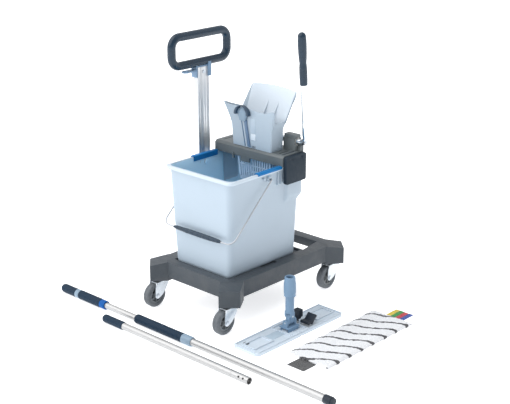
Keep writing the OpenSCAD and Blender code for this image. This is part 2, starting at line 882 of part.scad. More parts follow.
// Half of the mop plate, towards +Y, with ribs and a hinge nose
saddle_leg = 15;
module wing() {
    plate = 9;
    rib_top = 13;
    nose = 1.2;
    turn_r = 7.6;
    difference() {
        union() {
            linear_extrude(plate) polygon([
                [-mop_half_w, nose], [mop_half_w, nose], [mop_half_w, mop_half_l - 12],
                [mop_half_w - 9, mop_half_l], [9 - mop_half_w, mop_half_l],
                [-mop_half_w, mop_half_l - 12]
            ]);
            // Raised border and inner frame
            difference() {
                box([-mop_half_w + 3, 34, plate - 1], [mop_half_w - 3, mop_half_l - 4, rib_top - 1]);
                box([-mop_half_w + 7, 38, plate - 2], [mop_half_w - 7, mop_half_l - 8, rib_top]);
            }
            difference() {
                box([-26, 100, plate - 1], [26, mop_half_l - 16, rib_top]);
                box([-21, 105, plate - 2], [21, mop_half_l - 21, rib_top + 1]);
            }
            xcyl(6, -9.5, 9.5, wing_axis_y, wing_axis_z);
            for (sx = [-1, 1])
                box([sx * 42 - 6, nose, plate - 1], [sx * 42 + 6, 30, rib_top]);
        }
        // Inner edge rounded about the hinge axis, so that the wings clear each other as they fold
        difference() {
            box([-60, -1, -1], [60, wing_axis_y, wing_axis_z]);
            xcyl(turn_r, -61, 61, wing_axis_y, wing_axis_z);
        }
        xcyl(pin_r + fit, -24, 24, wing_axis_y, wing_axis_z);
        for (sx = [-1, 1])
            box([sx * saddle_leg - 5.5, -1, -1], [sx * saddle_leg + 5.5, 27, rib_top + 5]);
    }
}

module mop_wing_near() {
    color(white) at_mop() mirror([0, 1, 0]) wing();
}

pedal_axis = [48, 20];
module mop_wing_far() {
    color(white) at_mop() {
        wing();
        // Lugs for the foot pedal
        for (x = [-36, 0])
            difference() {
                box([x, pedal_axis[0] - 5, 8], [x + 5, pedal_axis[0] + 5, pedal_axis[1] + 5]);
                xcyl(pin_r + fit, x - 1, x + 6, pedal_axis[0], pedal_axis[1]);
            }
    }
}

module wing_pins() {
    color(zinc) at_mop()
        for (sy = [-1, 1]) xcyl(pin_r, -22, 22, sy * wing_axis_y, wing_axis_z);
}

module mop_saddle() {
    low = 16;
    top = 20;
    color(mid_blue) at_mop() difference() {
        union() {
            box([-19, -25, low], [19, 25, top]);
            for (sx = [-1, 1])
                box([sx * saddle_leg - 4, -20, 2], [sx * saddle_leg + 4, 20, top]);
            for (sy = [-1, 1]) {
                box([-9, sy * 18.5 - 3.5, top - 1], [9, sy * 18.5 + 3.5, tilt_y_z]);
                ycyl(9, sy * 18.5 - 3.5, sy * 18.5 + 3.5, 0, tilt_y_z);
            }
        }
        for (sy = [-1, 1]) xcyl(pin_r, -35, 35, sy * wing_axis_y, wing_axis_z);
        ycyl(3 + fit, -23, 23, 0, tilt_y_z);
    }
}

module joint_yoke() {
    color(mid_blue) at_mop() difference() {
        union() {
            ycyl(8, -14.6, 14.6, 0, tilt_y_z);
            box([-8, -9, tilt_y_z], [8, 9, tilt_x_z]);
            xcyl(8, -8, 8, 0, tilt_x_z);
        }
        ycyl(3, -15, 15, 0, tilt_y_z);
        xcyl(3, -9, 9, 0, tilt_x_z);
    }
}

// Both pins are fixed in the yoke: one turns in the saddle, one in the socket
module yoke_pins() {
    color(zinc) at_mop() {
        ycyl(3, -22, 22, 0, tilt_y_z);
        xcyl(3, -13.6, 13.6, 0, tilt_x_z);
    }
}

module handle_socket() {
    color(mid_blue) at_mop() difference() {
        union() {
            for (sx = [-1, 1]) {
                xcyl(8, sx * 11 - 2.6, sx * 11 + 2.6, 0, tilt_x_z);
                box([sx * 11 - 2.6, -8, tilt_x_z], [sx * 11 + 2.6, 8, 66]);
            }
            zcyl(14, 62, 68);
            zcyl(13.5, 66, 128);
            zcyl(15, 128, 170);
        }
        zcyl(socket_r, 84, 172);
        xcyl(3 + fit, -16, 16, 0, tilt_x_z);
    }
}

// Turning sleeve that locks the pole in the socket
module socket_sleeve() {
    color(mid_blue) at_mop() rotate_extrude() polygon([
        [15 + fit, 120], [17, 117], [19, 124], [19, 162], [17.5, 175], [16, 180], [socket_r, 180],
        [socket_r, 170.5], [15 + fit, 170.5]
    ]);
}

// Bar across the plate that carries a tilted tread and a higher block
module foot_pedal() {
    y = pedal_axis[0];
    z = pedal_axis[1];
    color(black) at_mop() {
        xcyl(pin_r, -35.5, 34, y, z);
        xcyl(4.5, -30.6, -0.4, y, z);
        xcyl(4.5, 5.4, 38, y, z);
        box([6, y, z - 3], [38, y + 16, z + 3]);
        translate([6, 0, 0]) rotate([90, 0, 90]) linear_extrude(32)
            polygon([[y + 9, z - 4], [y + 15, z - 7.5], [y + 38, z + 15], [y + 32, z + 20]]);
        box([-27, y, z - 3], [-5, y + 12, z + 8]);
        box([-27, y + 2, z + 5], [-5, y + 20, z + 29]);
    }
}

// ---- Pad ----

pad_half_w = 79;
pad_half_l = 209;
pad_h = 12;
module mop_pad() {
    color(white) translate([cart_x + pad_dx, cart_y + pad_dy, 0])
        linear_extrude(pad_h) round_rect(2 * pad_half_w, 2 * pad_half_l, 8);
}

module pad_tabs() {
    color(tyre_grey) translate([cart_x + pad_dx, cart_y + pad_dy, 0]) {
        box([-33, -pad_half_l - 50, 0], [30, -pad_half_l, 3]);
        box([-31, pad_half_l, 0], [35, pad_half_l + 58, 3]);
    }
}

// ---- Telescopic pole ----

module on_long() {
    translate([cart_x, cart_y + long_dy, grip_r]) children();
}

module outer_tube() {
    color(steel) on_long() xtube(outer_r, inner_r + fit, -98, 660);
}

module inner_tube() {
    color(steel) on_long() xtube(inner_r, inner_r - 1.4, -450, 380);
}

module top_grip() {
    color(navy) on_long() difference() {
        rotate([0, 90, 0]) rotate_extrude() polygon([
            [0, -463], [9, -462], [13.5, -456], [14.6, -448], [14.6, -393], [13.8, -388],
            [13.8, -371], [15, -367], [15, -271], [14, -266], [0, -266]
        ]);
        xcyl(inner_r, -450, -265);
        difference() {
            xcyl(16, -388, -371);
            xcyl(12, -389, -370);
        }
    }
}

module top_band() {
    color(pale) on_long() xtube(14.2, 12, -388, -371);
}

module top_ring() {
    color(bright_blue) on_long() difference() {
        xcyl(14, -266, -243);
        xcyl(inner_r, -267, -242);
    }
}

module middle_grip() {
    color(navy) on_long() difference() {
        rotate([0, 90, 0]) rotate_extrude() polygon([
            [0, -98], [13.5, -98], [15, -93], [15, 105], [14.4, 110], [0, 110]
        ]);
        xcyl(outer_r, -99, 111);
    }
}

module lock_collar() {
    flutes = 8;
    color(pale) on_long() difference() {
        rotate([0, 90, 0]) rotate_extrude() polygon([
            [outer_r + fit, 110.3], [15, 110.3], [15, 143], [13.5, 149], [outer_r + fit, 149]
        ]);
        for (i = [0:flutes - 1])
            rotate([360 * (i + 0.5) / flutes, 0, 0]) xcyl(1.6, 116, 138, 0, 15.9);
    }
}

module pole_plug() {
    color(black) on_long() difference() {
        union() {
            xcyl(13, 657, 682);
            xcyl(11, 681, 688);
        }
        xcyl(outer_r, 656, 660);
    }
}

// ---- Short pole ----

module on_short() {
    translate([cart_x, cart_y + short_dy, short_grip_r]) children();
}

module short_tube() {
    color(steel) on_short() difference() {
        xcyl(short_r, -173, 437);
        xcyl(short_r - 1.2, -174, 438);
        // Groove that marks how deep the end goes into a socket
        difference() {
            xcyl(short_r + 1, 373, 377);
            xcyl(short_r - 0.4, 372, 378);
        }
        // Snap holes
        for (x = [404, 421]) rotate([60, 0, 0]) zcyl(3.2, 0, 20, x);
    }
}

module short_grip() {
    color(navy) on_short() difference() {
        rotate([0, 90, 0]) rotate_extrude() polygon([
            [0, -182], [10, -181], [12.3, -176], [short_grip_r, -169], [short_grip_r, -93],
            [12, -88], [0, -88]
        ]);
        xcyl(short_r, -173, -87);
    }
}

chassis();
caster_sleeves();
handle_post();
frame_screws();
push_handle();
handle_collar();
hanging_eye();
caster_fork(-1, -1);  // fork_front_left
caster_fork(1, -1);  // fork_front_right
caster_fork(-1, 1);  // fork_rear_left
caster_fork(1, 1);  // fork_rear_right
wheel_hub(-1, -1);  // hub_front_left
wheel_hub(1, -1);  // hub_front_right
wheel_hub(-1, 1);  // hub_rear_left
wheel_hub(1, 1);  // hub_rear_right
wheel_tyre(-1, -1);  // tyre_front_left
wheel_tyre(1, -1);  // tyre_front_right
wheel_tyre(-1, 1);  // tyre_rear_left
wheel_tyre(1, 1);  // tyre_rear_right
caster_axle(-1, -1);  // axle_front_left
caster_axle(1, -1);  // axle_front_right
caster_axle(-1, 1);  // axle_rear_left
caster_axle(1, 1);  // axle_rear_right
bucket();
bail_wire();
bail_grip();
rim_clips();
wringer_frame();
side_cover();
cover_screws();
sieve_basket();
press_plate();
press_shaft();
shaft_bushes();
return_spring();
lever_tube();
lever_grip();
funnel();
funnel_hook();
mop_wing_near();
mop_wing_far();
wing_pins();
mop_saddle();
joint_yoke();
yoke_pins();
handle_socket();
socket_sleeve();
foot_pedal();
mop_pad();
pad_tabs();
outer_tube();
inner_tube();
top_grip();
top_band();
top_ring();
middle_grip();
lock_collar();
pole_plug();
short_tube();
short_grip();
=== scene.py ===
"""Looks of the mopping set: trolley with bucket, wringer and funnel, flat mop head, pad and two poles."""
import math

import bmesh
import bpy
from mathutils import Matrix, Vector, noise


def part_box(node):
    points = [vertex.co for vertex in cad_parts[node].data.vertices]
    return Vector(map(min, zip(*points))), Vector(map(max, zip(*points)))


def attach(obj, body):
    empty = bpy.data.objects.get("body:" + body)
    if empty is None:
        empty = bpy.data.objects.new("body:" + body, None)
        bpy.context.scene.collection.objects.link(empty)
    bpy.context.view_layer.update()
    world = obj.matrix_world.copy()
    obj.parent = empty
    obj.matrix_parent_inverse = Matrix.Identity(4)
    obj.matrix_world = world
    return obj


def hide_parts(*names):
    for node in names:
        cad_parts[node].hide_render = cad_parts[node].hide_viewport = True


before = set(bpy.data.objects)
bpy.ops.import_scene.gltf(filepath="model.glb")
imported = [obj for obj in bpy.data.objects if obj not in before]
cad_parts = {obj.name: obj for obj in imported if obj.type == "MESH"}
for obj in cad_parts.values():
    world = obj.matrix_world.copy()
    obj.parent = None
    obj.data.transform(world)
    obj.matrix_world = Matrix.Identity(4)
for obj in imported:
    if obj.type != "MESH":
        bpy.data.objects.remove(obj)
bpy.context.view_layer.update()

MM = 0.001
TAU = 2 * math.pi
WELD = 0.02 * MM
FLAT = math.radians(0.6)  # faces that turn less than this are one flat face


# ---- Anchors: every local shape below is in millimetres from one of these ----

def middle(node):
    low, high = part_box(node)
    return (low + high) / 2


def on_floor(point):
    return Vector((point.x, point.y, 0))


def local(node, anchor):
    """Lowest and highest corner of a CAD node, in millimetres from an anchor."""
    low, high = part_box(node)
    return (low - anchor) / MM, (high - anchor) / MM


EARS_AHEAD = 30  # the chassis reaches this much further back than forward of the trolley's centre
CART = on_floor(middle("chassis")) - Vector((0, EARS_AHEAD * MM, 0))
MOP = on_floor(middle("mop_saddle"))
PAD = on_floor(middle("mop_pad"))
LONG = Vector((CART.x, middle("outer_tube").y, middle("outer_tube").z))
SHORT = Vector((CART.x, middle("short_tube").y, middle("short_tube").z))


# ---- Mesh tools ----

def lerp(a, b, t):
    return a + (b - a) * t


def smooth(t):
    t = min(1.0, max(0.0, t))
    return t * t * (3 - 2 * t)


def arc(cx, cy, radius, start, end, steps):
    """Points on an arc, angles in degrees, both ends included."""
    angles = [math.radians(lerp(start, end, i / steps)) for i in range(steps + 1)]
    return [(cx + radius * math.cos(a), cy + radius * math.sin(a)) for a in angles]


def rounded(points, radius, steps=5):
    """Outline with each corner turned into an arc; radius is one number or one for each corner."""
    outline = []
    for i, corner in enumerate(points):
        r = radius[i] if isinstance(radius, (list, tuple)) else radius
        here = Vector(corner)
        before = Vector(points[i - 1]) - here
        after = Vector(points[(i + 1) % len(points)]) - here
        half = before.angle(after) / 2
        reach = min(r / math.tan(half), before.length / 2.01, after.length / 2.01)
        p0 = here + before.normalized() * reach
        p1 = here + after.normalized() * reach
        for k in range(steps + 1):
            t = k / steps
            q = p0 * (1 - t) ** 2 + here * (2 * t * (1 - t)) + p1 * t ** 2
            outline.append((q.x, q.y))
    return outline


def along(axis, t, u, v):
    """Point with t along the named axis and u, v on the next two axes."""
    return Vector({"x": (t, u, v), "y": (v, t, u), "z": (u, v, t)}[axis])


class Shape:
    """Closed surfaces collected into one mesh, in millimetres."""

    def __init__(self):
        self.verts = []
        self.faces = []

    def add(self, verts, faces):
        first = len(self.verts)
        self.verts.extend(Vector(v) for v in verts)
        self.faces.extend(tuple(first + i for i in face) for face in faces)
        return self

    def loft(self, rings, closed=False, caps=True):
        """Skin over rings of equal count; closed joins the last ring to the first."""
        count = len(rings[0])
        faces = []
        for i in range(len(rings) if closed else len(rings) - 1):
            a, b = i * count, (i + 1) % len(rings) * count
            for j in range(count):
                k = (j + 1) % count
                faces.append((a + j, a + k, b + k, b + j))
        if caps and not closed:
            faces.append(tuple(reversed(range(count))))
            faces.append(tuple(range((len(rings) - 1) * count, len(rings) * count)))
        return self.add([p for ring in rings for p in ring], faces)

    def lathe(self, profile, axis, centre=(0, 0, 0), steps=48, closed=False, wave=None):
        """Profile of (along, radius) turned about an axis; wave changes the radius by angle and place."""
        rings = []
        for t, r in profile:
            ring = []
            for j in range(steps):
                a = TAU * j / steps
                rr = r + (wave(t, a) if wave else 0)
                ring.append(Vector(centre) + along(axis, t, rr * math.cos(a), rr * math.sin(a)))
            rings.append(ring)
        return self.loft(rings, closed)

    def prism(self, outline, axis, low, high, centre=(0, 0, 0)):
        rings = [[Vector(centre) + along(axis, t, u, v) for u, v in outline] for t in (low, high)]
        return self.loft(rings)

    def box(self, low, high):
        outline = [(low[1], low[2]), (high[1], low[2]), (high[1], high[2]), (low[1], high[2])]
        return self.prism(outline, "x", low[0], high[0])

    def sweep(self, path, section, closed=False):
        """Section of (u, v) points, or a function of the share of the path, carried along a path."""
        count = len(path)
        ring_of = section if callable(section) else (lambda share: section)
        tangents = []
        for i in range(count):
            a = path[i - 1] if closed or i > 0 else path[0]
            b = path[(i + 1) % count] if closed or i < count - 1 else path[-1]
            tangents.append((b - a).normalized())
        side = tangents[0].orthogonal().normalized()
        rings = []
        for i in range(count):
            side = (side - tangents[i] * side.dot(tangents[i])).normalized()
            up = tangents[i].cross(side)
            rings.append([path[i] + side * u + up * v for u, v in ring_of(i / (count - 1))])
        return self.loft(rings, closed)

    def moved(self, matrix, start=0):
        """Carries every vertex from the given one on."""
        for i in range(start, len(self.verts)):
            self.verts[i] = matrix @ self.verts[i]
        return self


def cut_fine(profile, cuts_of, closed=False):
    """Profile with each stretch divided; cuts_of gives the number of parts from the two ends."""
    fine = []
    for (t0, r0), (t1, r1) in zip(profile, profile[1:] + profile[:1] if closed else profile[1:]):
        cuts = max(1, round(cuts_of((t0, r0), (t1, r1))))
        fine += [(lerp(t0, t1, k / cuts), lerp(r0, r1, k / cuts)) for k in range(cuts)]
    return fine if closed else fine + [profile[-1]]


def circle(radius, steps=16):
    return [(radius * math.cos(a), radius * math.sin(a)) for a in (TAU * i / steps for i in range(steps))]


def smooth_group():
    """Geometry nodes that shade smooth and keep edges over an angle sharp."""
    group = bpy.data.node_groups.new("smooth_by_angle", "GeometryNodeTree")
    group.interface.new_socket("Geometry", in_out="INPUT", socket_type="NodeSocketGeometry")
    group.interface.new_socket("Geometry", in_out="OUTPUT", socket_type="NodeSocketGeometry")
    limit = math.radians(34)
    start, end = group.nodes.new("NodeGroupInput"), group.nodes.new("NodeGroupOutput")
    faces, edges = (group.nodes.new("GeometryNodeSetShadeSmooth") for _ in range(2))
    angle, over = group.nodes.new("GeometryNodeInputMeshEdgeAngle"), group.nodes.new("ShaderNodeMath")
    edges.domain = "EDGE"
    edges.inputs["Shade Smooth"].default_value = False
    over.operation = "GREATER_THAN"
    over.inputs[1].default_value = limit
    group.links.new(start.outputs[0], faces.inputs["Geometry"])
    group.links.new(faces.outputs[0], edges.inputs["Geometry"])
    group.links.new(angle.outputs["Unsigned Angle"], over.inputs[0])
    group.links.new(over.outputs[0], edges.inputs["Selection"])
    group.links.new(edges.outputs[0], end.inputs[0])
    return group


SMOOTH = smooth_group()


def add_smooth(obj):
    obj.modifiers.new("smooth", "NODES").node_group = SMOOTH


def add_bevel(obj, width, segments=2, angle=32):
    bevel = obj.modifiers.new("edges", "BEVEL")
    bevel.width = width * MM
    bevel.segments = segments
    bevel.limit_method = "ANGLE"
    bevel.angle_limit = math.radians(angle)
    bevel.use_clamp_overlap = True
    bevel.miter_outer = "MITER_ARC"
    return bevel


def link_mesh(name, mesh, look, body, nodes):
    obj = bpy.data.objects.new(name, mesh)
    bpy.context.scene.collection.objects.link(obj)
    mesh.materials.clear()
    mesh.materials.append(look)
    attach(obj, body)
    if nodes:
        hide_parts(*nodes)
    return obj


def piece(name, shape, anchor, look, body, nodes=(), bevel=0, segments=2, levels=0):
    """Turns a Shape into a mesh object that rides on a body."""
    mesh = bpy.data.meshes.new(name)
    mesh.from_pydata([anchor + v * MM for v in shape.verts], [], shape.faces)
    clean = bmesh.new()
    clean.from_mesh(mesh)
    bmesh.ops.recalc_face_normals(clean, faces=clean.faces)
    clean.to_mesh(mesh)
    clean.free()
    obj = link_mesh(name, mesh, look, body, nodes)
    if bevel:
        add_bevel(obj, bevel, segments)
    if levels:
        rounds = obj.modifiers.new("rounds", "SUBSURF")
        rounds.levels = rounds.render_levels = levels
    add_smooth(obj)
    return obj


def softened(node, name, look, body, widths):
    """Copy of a CAD node with rounded edges: widths is a list of (millimetres, test of an edge)."""
    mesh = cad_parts[node].data.copy()
    mesh.name = name
    work = bmesh.new()
    work.from_mesh(mesh)
    bmesh.ops.remove_doubles(work, verts=work.verts, dist=WELD)
    bmesh.ops.dissolve_limit(work, angle_limit=FLAT, verts=work.verts, edges=work.edges)
    sharp = math.radians(30)
    for width, test in widths:
        chosen = [e for e in work.edges
                  if len(e.link_faces) == 2 and e.calc_face_angle(0) > sharp and test(e)]
        bmesh.ops.bevel(work, geom=chosen, offset=width * MM, segments=3, profile=0.5,
                        affect="EDGES", clamp_overlap=True)
    bmesh.ops.recalc_face_normals(work, faces=work.faces)
    work.to_mesh(mesh)
    work.free()
    obj = link_mesh(name, mesh, look, body, [node])
    add_smooth(obj)
    return obj


def dressed(node, look, bevel=0.0, segments=2):
    """Gives a CAD node its material, clean faces and rounded edges."""
    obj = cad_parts[node]
    for holder in obj.material_slots:
        holder.link = "OBJECT"
        holder.material = look
    weld = obj.modifiers.new("weld", "WELD")
    weld.merge_threshold = WELD
    if bevel:
        merge = obj.modifiers.new("merge", "DECIMATE")
        merge.decimate_type = "DISSOLVE"
        merge.angle_limit = FLAT
        add_bevel(obj, bevel, segments)
    add_smooth(obj)
    return obj


# ---- Material tools ----

class Look:
    """Principled material with short calls for the nodes that feed it."""

    def __init__(self, name, roughness=0.5, metallic=0.0, ior=1.47):
        self.material = bpy.data.materials.new(name)
        self.material.use_nodes = True
        self.tree = self.material.node_tree
        self.shader = self.tree.nodes["Principled BSDF"]
        self.shader.inputs["Roughness"].default_value = roughness
        self.shader.inputs["Metallic"].default_value = metallic
        self.shader.inputs["IOR"].default_value = ior
        self.place = self.tree.nodes.new("ShaderNodeTexCoord").outputs["Object"]

    def feed(self, socket, value):
        if isinstance(value, bpy.types.NodeSocket):
            self.tree.links.new(value, socket)
        else:
            socket.default_value = value

    def set(self, name, value):
        self.feed(self.shader.inputs[name], value)

    def scaled(self, scale):
        node = self.tree.nodes.new("ShaderNodeMapping")
        node.inputs["Scale"].default_value = scale if hasattr(scale, "__len__") else (scale,) * 3
        self.tree.links.new(self.place, node.inputs["Vector"])
        return node.outputs[0]

    def noise(self, scale, detail=3.0, rough=0.55, vector=None):
        node = self.tree.nodes.new("ShaderNodeTexNoise")
        node.inputs["Detail"].default_value = detail
        node.inputs["Roughness"].default_value = rough
        uniform = not hasattr(scale, "__len__")
        node.inputs["Scale"].default_value = scale if uniform else 1.0
        self.feed(node.inputs["Vector"], vector or (self.place if uniform else self.scaled(scale)))
        return node.outputs["Fac"]

    def cells(self, scale, vector=None):
        node = self.tree.nodes.new("ShaderNodeTexVoronoi")
        node.inputs["Scale"].default_value = scale
        self.feed(node.inputs["Vector"], vector or self.place)
        return node.outputs["Distance"]

    def wave(self, scale, axis="X", distortion=0.0):
        node = self.tree.nodes.new("ShaderNodeTexWave")
        node.bands_direction = axis
        node.inputs["Scale"].default_value = scale
        node.inputs["Distortion"].default_value = distortion
        self.tree.links.new(self.place, node.inputs["Vector"])
        return node.outputs["Fac"]

    def math(self, operation, a, b=0.0, clamp=False):
        node = self.tree.nodes.new("ShaderNodeMath")
        node.operation = operation
        node.use_clamp = clamp
        self.feed(node.inputs[0], a)
        self.feed(node.inputs[1], b)
        return node.outputs[0]

    def span(self, value, low, high, to_low=0.0, to_high=1.0):
        node = self.tree.nodes.new("ShaderNodeMapRange")
        self.feed(node.inputs["Value"], value)
        for name, number in (("From Min", low), ("From Max", high), ("To Min", to_low), ("To Max", to_high)):
            node.inputs[name].default_value = number
        return node.outputs[0]

    def blend(self, share, a, b):
        node = self.tree.nodes.new("ShaderNodeMix")
        node.data_type = "RGBA"
        self.feed(node.inputs[0], share)
        for socket, value in ((node.inputs[6], a), (node.inputs[7], b)):
            self.feed(socket, value if isinstance(value, bpy.types.NodeSocket) else (*value, 1.0))
        return node.outputs[2]

    def tint(self, tone, share, amount, colour):
        """Lays a colour over a tone, as strong as the share of an amount."""
        return self.blend(self.math("MULTIPLY", share, amount), tone, colour)

    def axis(self, name):
        node = self.tree.nodes.new("ShaderNodeSeparateXYZ")
        self.tree.links.new(self.place, node.inputs[0])
        return node.outputs[name]

    def attribute(self, name):
        node = self.tree.nodes.new("ShaderNodeAttribute")
        node.attribute_name = name
        return node.outputs["Fac"]

    def edges(self, radius):
        """Near one along outer and inner arrises, zero on flat faces."""
        bevel = self.tree.nodes.new("ShaderNodeBevel")
        bevel.samples = 4
        bevel.inputs["Radius"].default_value = radius
        faces = self.tree.nodes.new("ShaderNodeNewGeometry")
        dot = self.tree.nodes.new("ShaderNodeVectorMath")
        dot.operation = "DOT_PRODUCT"
        self.tree.links.new(bevel.outputs[0], dot.inputs[0])
        self.tree.links.new(faces.outputs["Normal"], dot.inputs[1])
        return self.span(dot.outputs["Value"], 0.98, 0.75)

    def bump(self, height, distance, strength=1.0, under=None):
        node = self.tree.nodes.new("ShaderNodeBump")
        node.inputs["Strength"].default_value = strength
        node.inputs["Distance"].default_value = distance
        self.feed(node.inputs["Height"], height)
        if under is not None:
            self.feed(node.inputs["Normal"], under)
        self.set("Normal", node.outputs[0])
        return node.outputs[0]


def shade(colour, factor):
    return tuple(min(1.0, c * factor) for c in colour)


def moulded(name, colour, roughness, grain=1400.0, depth=0.00006, lighten=1.25, dust=0.0, gloss=0.5):
    """Moulded plastic: slow tone changes, fine grain, lighter arrises that are partly rubbed wear and partly
    a painted edge highlight, a little dust low down.
    """
    look = Look(name, roughness)
    tone = look.blend(look.noise(7.0, 4.0), shade(colour, 0.94), shade(colour, 1.05))
    specks = look.span(look.noise(520.0, 2.0), 0.35, 0.75)
    tone = look.tint(tone, specks, 0.10, shade(colour, 0.72))
    # Lighter arrises: partly rubbed wear, partly a painted edge highlight; lighten sets how far they lift.
    rubbed = look.math("MULTIPLY", look.edges(0.0012), look.span(look.noise(60.0), 0.35, 0.7), clamp=True)
    tone = look.blend(look.math("MULTIPLY", rubbed, 0.55), tone, shade(colour, lighten))
    if dust:
        low = look.span(look.axis("Z"), 0.22, 0.0)
        cloud = look.span(look.noise(18.0, 5.0), 0.45, 0.75)
        tone = look.tint(tone, look.math("MULTIPLY", low, cloud), dust, (0.46, 0.44, 0.41))
    look.set("Base Color", tone)
    scuffs = look.span(look.noise((25.0, 160.0, 60.0), 4.0), 0.3, 0.75, roughness - 0.06, roughness + 0.12)
    look.set("Roughness", scuffs)
    coarse = look.bump(look.noise(grain, 2.0), depth)
    look.bump(look.noise(11.0, 2.0), 0.0006, 0.5, coarse)
    look.set("Specular IOR Level", gloss)
    return look.material


def brushed(name, colour, roughness, stretch, streak=0.12):
    """Anodised or drawn metal with fine lines along one axis."""
    look = Look(name, roughness, metallic=1.0)
    lines = look.noise(stretch, 3.0, 0.7)
    slow = look.noise(tuple(s * 0.06 for s in stretch), 3.0)
    tone = look.blend(lines, shade(colour, 1 - streak), shade(colour, 1 + streak * 0.5))
    tone = look.tint(tone, slow, 0.35, shade(colour, 0.86))
    look.set("Base Color", tone)
    look.set("Roughness", look.span(lines, 0.25, 0.8, roughness - 0.05, roughness + 0.1))
    look.bump(lines, 0.00003)
    return look.material


def galvanised(name, colour):
    """Zinc plate: cloudy, faintly warm and cool, fine pits."""
    look = Look(name, 0.34, metallic=0.85)
    cloud = look.noise(55.0, 4.0)
    tone = look.blend(cloud, shade(colour, 0.92), shade(colour, 1.06))
    warm = look.span(look.noise(23.0, 2.0), 0.5, 0.8)
    tone = look.tint(tone, warm, 0.25, (0.80, 0.79, 0.70))
    # Lighter arrises on the zinc: a painted edge highlight.
    edge = look.edges(0.0008)
    tone = look.tint(tone, edge, 0.4, (0.90, 0.91, 0.92))
    look.set("Base Color", tone)
    look.set("Roughness", look.span(cloud, 0.3, 0.75, 0.24, 0.46))
    look.bump(look.noise(900.0, 2.0), 0.00004)
    return look.material


def plated(name):
    """Bright chrome with faint wipe marks."""
    look = Look(name, 0.1, metallic=1.0)
    marks = look.noise((90.0, 90.0, 14.0), 4.0)
    look.set("Base Color", look.blend(marks, (0.60, 0.63, 0.66), (0.74, 0.77, 0.80)))
    look.set("Roughness", look.span(marks, 0.35, 0.8, 0.06, 0.15))
    look.bump(look.noise(40.0, 2.0), 0.00005, 0.3)
    return look.material


def rubber(name, colour):
    """Grey tyre rubber, lighter along the tread and other arrises, partly rubbed wear and partly a painted
    edge highlight, and dusty.
    """
    look = Look(name, 0.72)
    tone = look.blend(look.noise(40.0, 4.0), shade(colour, 0.8), shade(colour, 1.15))
    dusty = look.span(look.noise(110.0, 5.0), 0.45, 0.8)
    tone = look.tint(tone, dusty, 0.3, (0.30, 0.29, 0.28))
    # Lighter arrises: partly rubbed wear, partly a painted edge highlight.
    tone = look.tint(tone, look.edges(0.0015), 0.35, shade(colour, 1.9))
    look.set("Base Color", tone)
    look.set("Roughness", look.span(dusty, 0.0, 1.0, 0.62, 0.85))
    look.bump(look.noise(700.0, 3.0), 0.00012)
    return look.material


def soft_grip(name, colour, roughness, gloss):
    """Soft navy handle cover: matt, fine leathery grain and lighter rubbed places."""
    look = Look(name, roughness)
    tone = look.blend(look.noise(14.0, 4.0), shade(colour, 0.8), shade(colour, 1.2))
    lighten = look.span(look.noise(30.0, 5.0), 0.5, 0.8)
    tone = look.tint(tone, lighten, 0.22, shade(colour, 1.9))
    look.set("Base Color", tone)
    look.set("Roughness", look.span(lighten, 0.0, 1.0, roughness - 0.05, roughness + 0.1))
    look.set("Specular IOR Level", gloss)
    pebbles = look.bump(look.cells(900.0), 0.00012, 0.7)
    look.bump(look.noise(60.0, 2.0), 0.0002, 0.4, pebbles)
    return look.material


def microfibre(name):
    """White looped pile with dark stripes where the mesh says so."""
    look = Look(name, 0.92)
    loops = look.cells(520.0)
    tuft = look.noise(160.0, 3.0)
    white = look.blend(tuft, (0.74, 0.75, 0.77), (0.90, 0.90, 0.91))
    # Darker between the pile loops: painted shade in the gaps.
    white = look.blend(look.span(loops, 0.25, 0.75), white, (0.66, 0.68, 0.71))
    fringe = look.math("MULTIPLY", look.math("SUBTRACT", look.noise(300.0, 3.0), 0.5), 0.9)
    share = look.span(look.math("ADD", look.attribute("stripe"), fringe), 0.35, 0.62)
    grey = look.blend(tuft, (0.030, 0.032, 0.036), (0.10, 0.10, 0.11))
    look.set("Base Color", look.blend(share, white, grey))
    look.set("Sheen Weight", 0.35)
    look.set("Sheen Roughness", 0.5)
    soft = look.bump(loops, 0.0009, 0.8)
    look.bump(tuft, 0.0012, 0.7, soft)
    return look.material


def woven(name, bands, edges=(), weave=430.0):
    """Woven tape: bands of colour across X with soft borders, over-and-under yarns in the surface."""
    look = Look(name, 0.85)
    tone = None
    across = look.axis("X")
    for colour, start in zip(bands, (None, *edges)):
        tinted = look.blend(look.noise(260.0, 2.0), shade(colour, 0.78), shade(colour, 1.18))
        if tone is None:
            tone = tinted
        else:
            tone = look.blend(look.span(across, start - 0.0004, start + 0.0004), tone, tinted)
    over, under = look.wave(weave, "X", 0.3), look.wave(weave, "Y", 0.3)
    yarn = look.math("MULTIPLY", over, under)
    tone = look.tint(tone, yarn, 0.35, (0.02, 0.02, 0.02))
    look.set("Base Color", tone)
    look.set("Sheen Weight", 0.2)
    ribs = look.bump(look.math("ADD", over, under), 0.0004, 0.8)
    look.bump(look.noise(900.0, 2.0), 0.0001, 0.5, ribs)
    return look.material


DARK = moulded("dark_moulding", (0.050, 0.061, 0.073), 0.47, lighten=2.4, dust=0.12)
WRINGER = moulded("wringer_moulding", (0.115, 0.133, 0.140), 0.45, lighten=1.8)
COVER = moulded("cover_moulding", (0.018, 0.030, 0.044), 0.5, lighten=2.4, gloss=0.18)
PALE = moulded("pale_moulding", (0.42, 0.505, 0.585), 0.36, grain=1100.0, depth=0.00003, lighten=1.3)
# Lighter copy of the bucket plastic for the rim top: a painted highlight.
RIM_HIGHLIGHT = moulded("rim_highlight_moulding", (0.56, 0.64, 0.72), 0.36, grain=1100.0, depth=0.00003, lighten=1.2)
# Brighter, bluer copy of the bucket plastic for the inside: partly the plastic's own tint, partly painted
# light lifting the shaded inside.
INSIDE_TINT_AND_LIGHT = moulded("inside_tint_and_light_moulding", (0.56, 0.80, 0.98), 0.38, grain=1100.0, depth=0.00003, lighten=1.0)
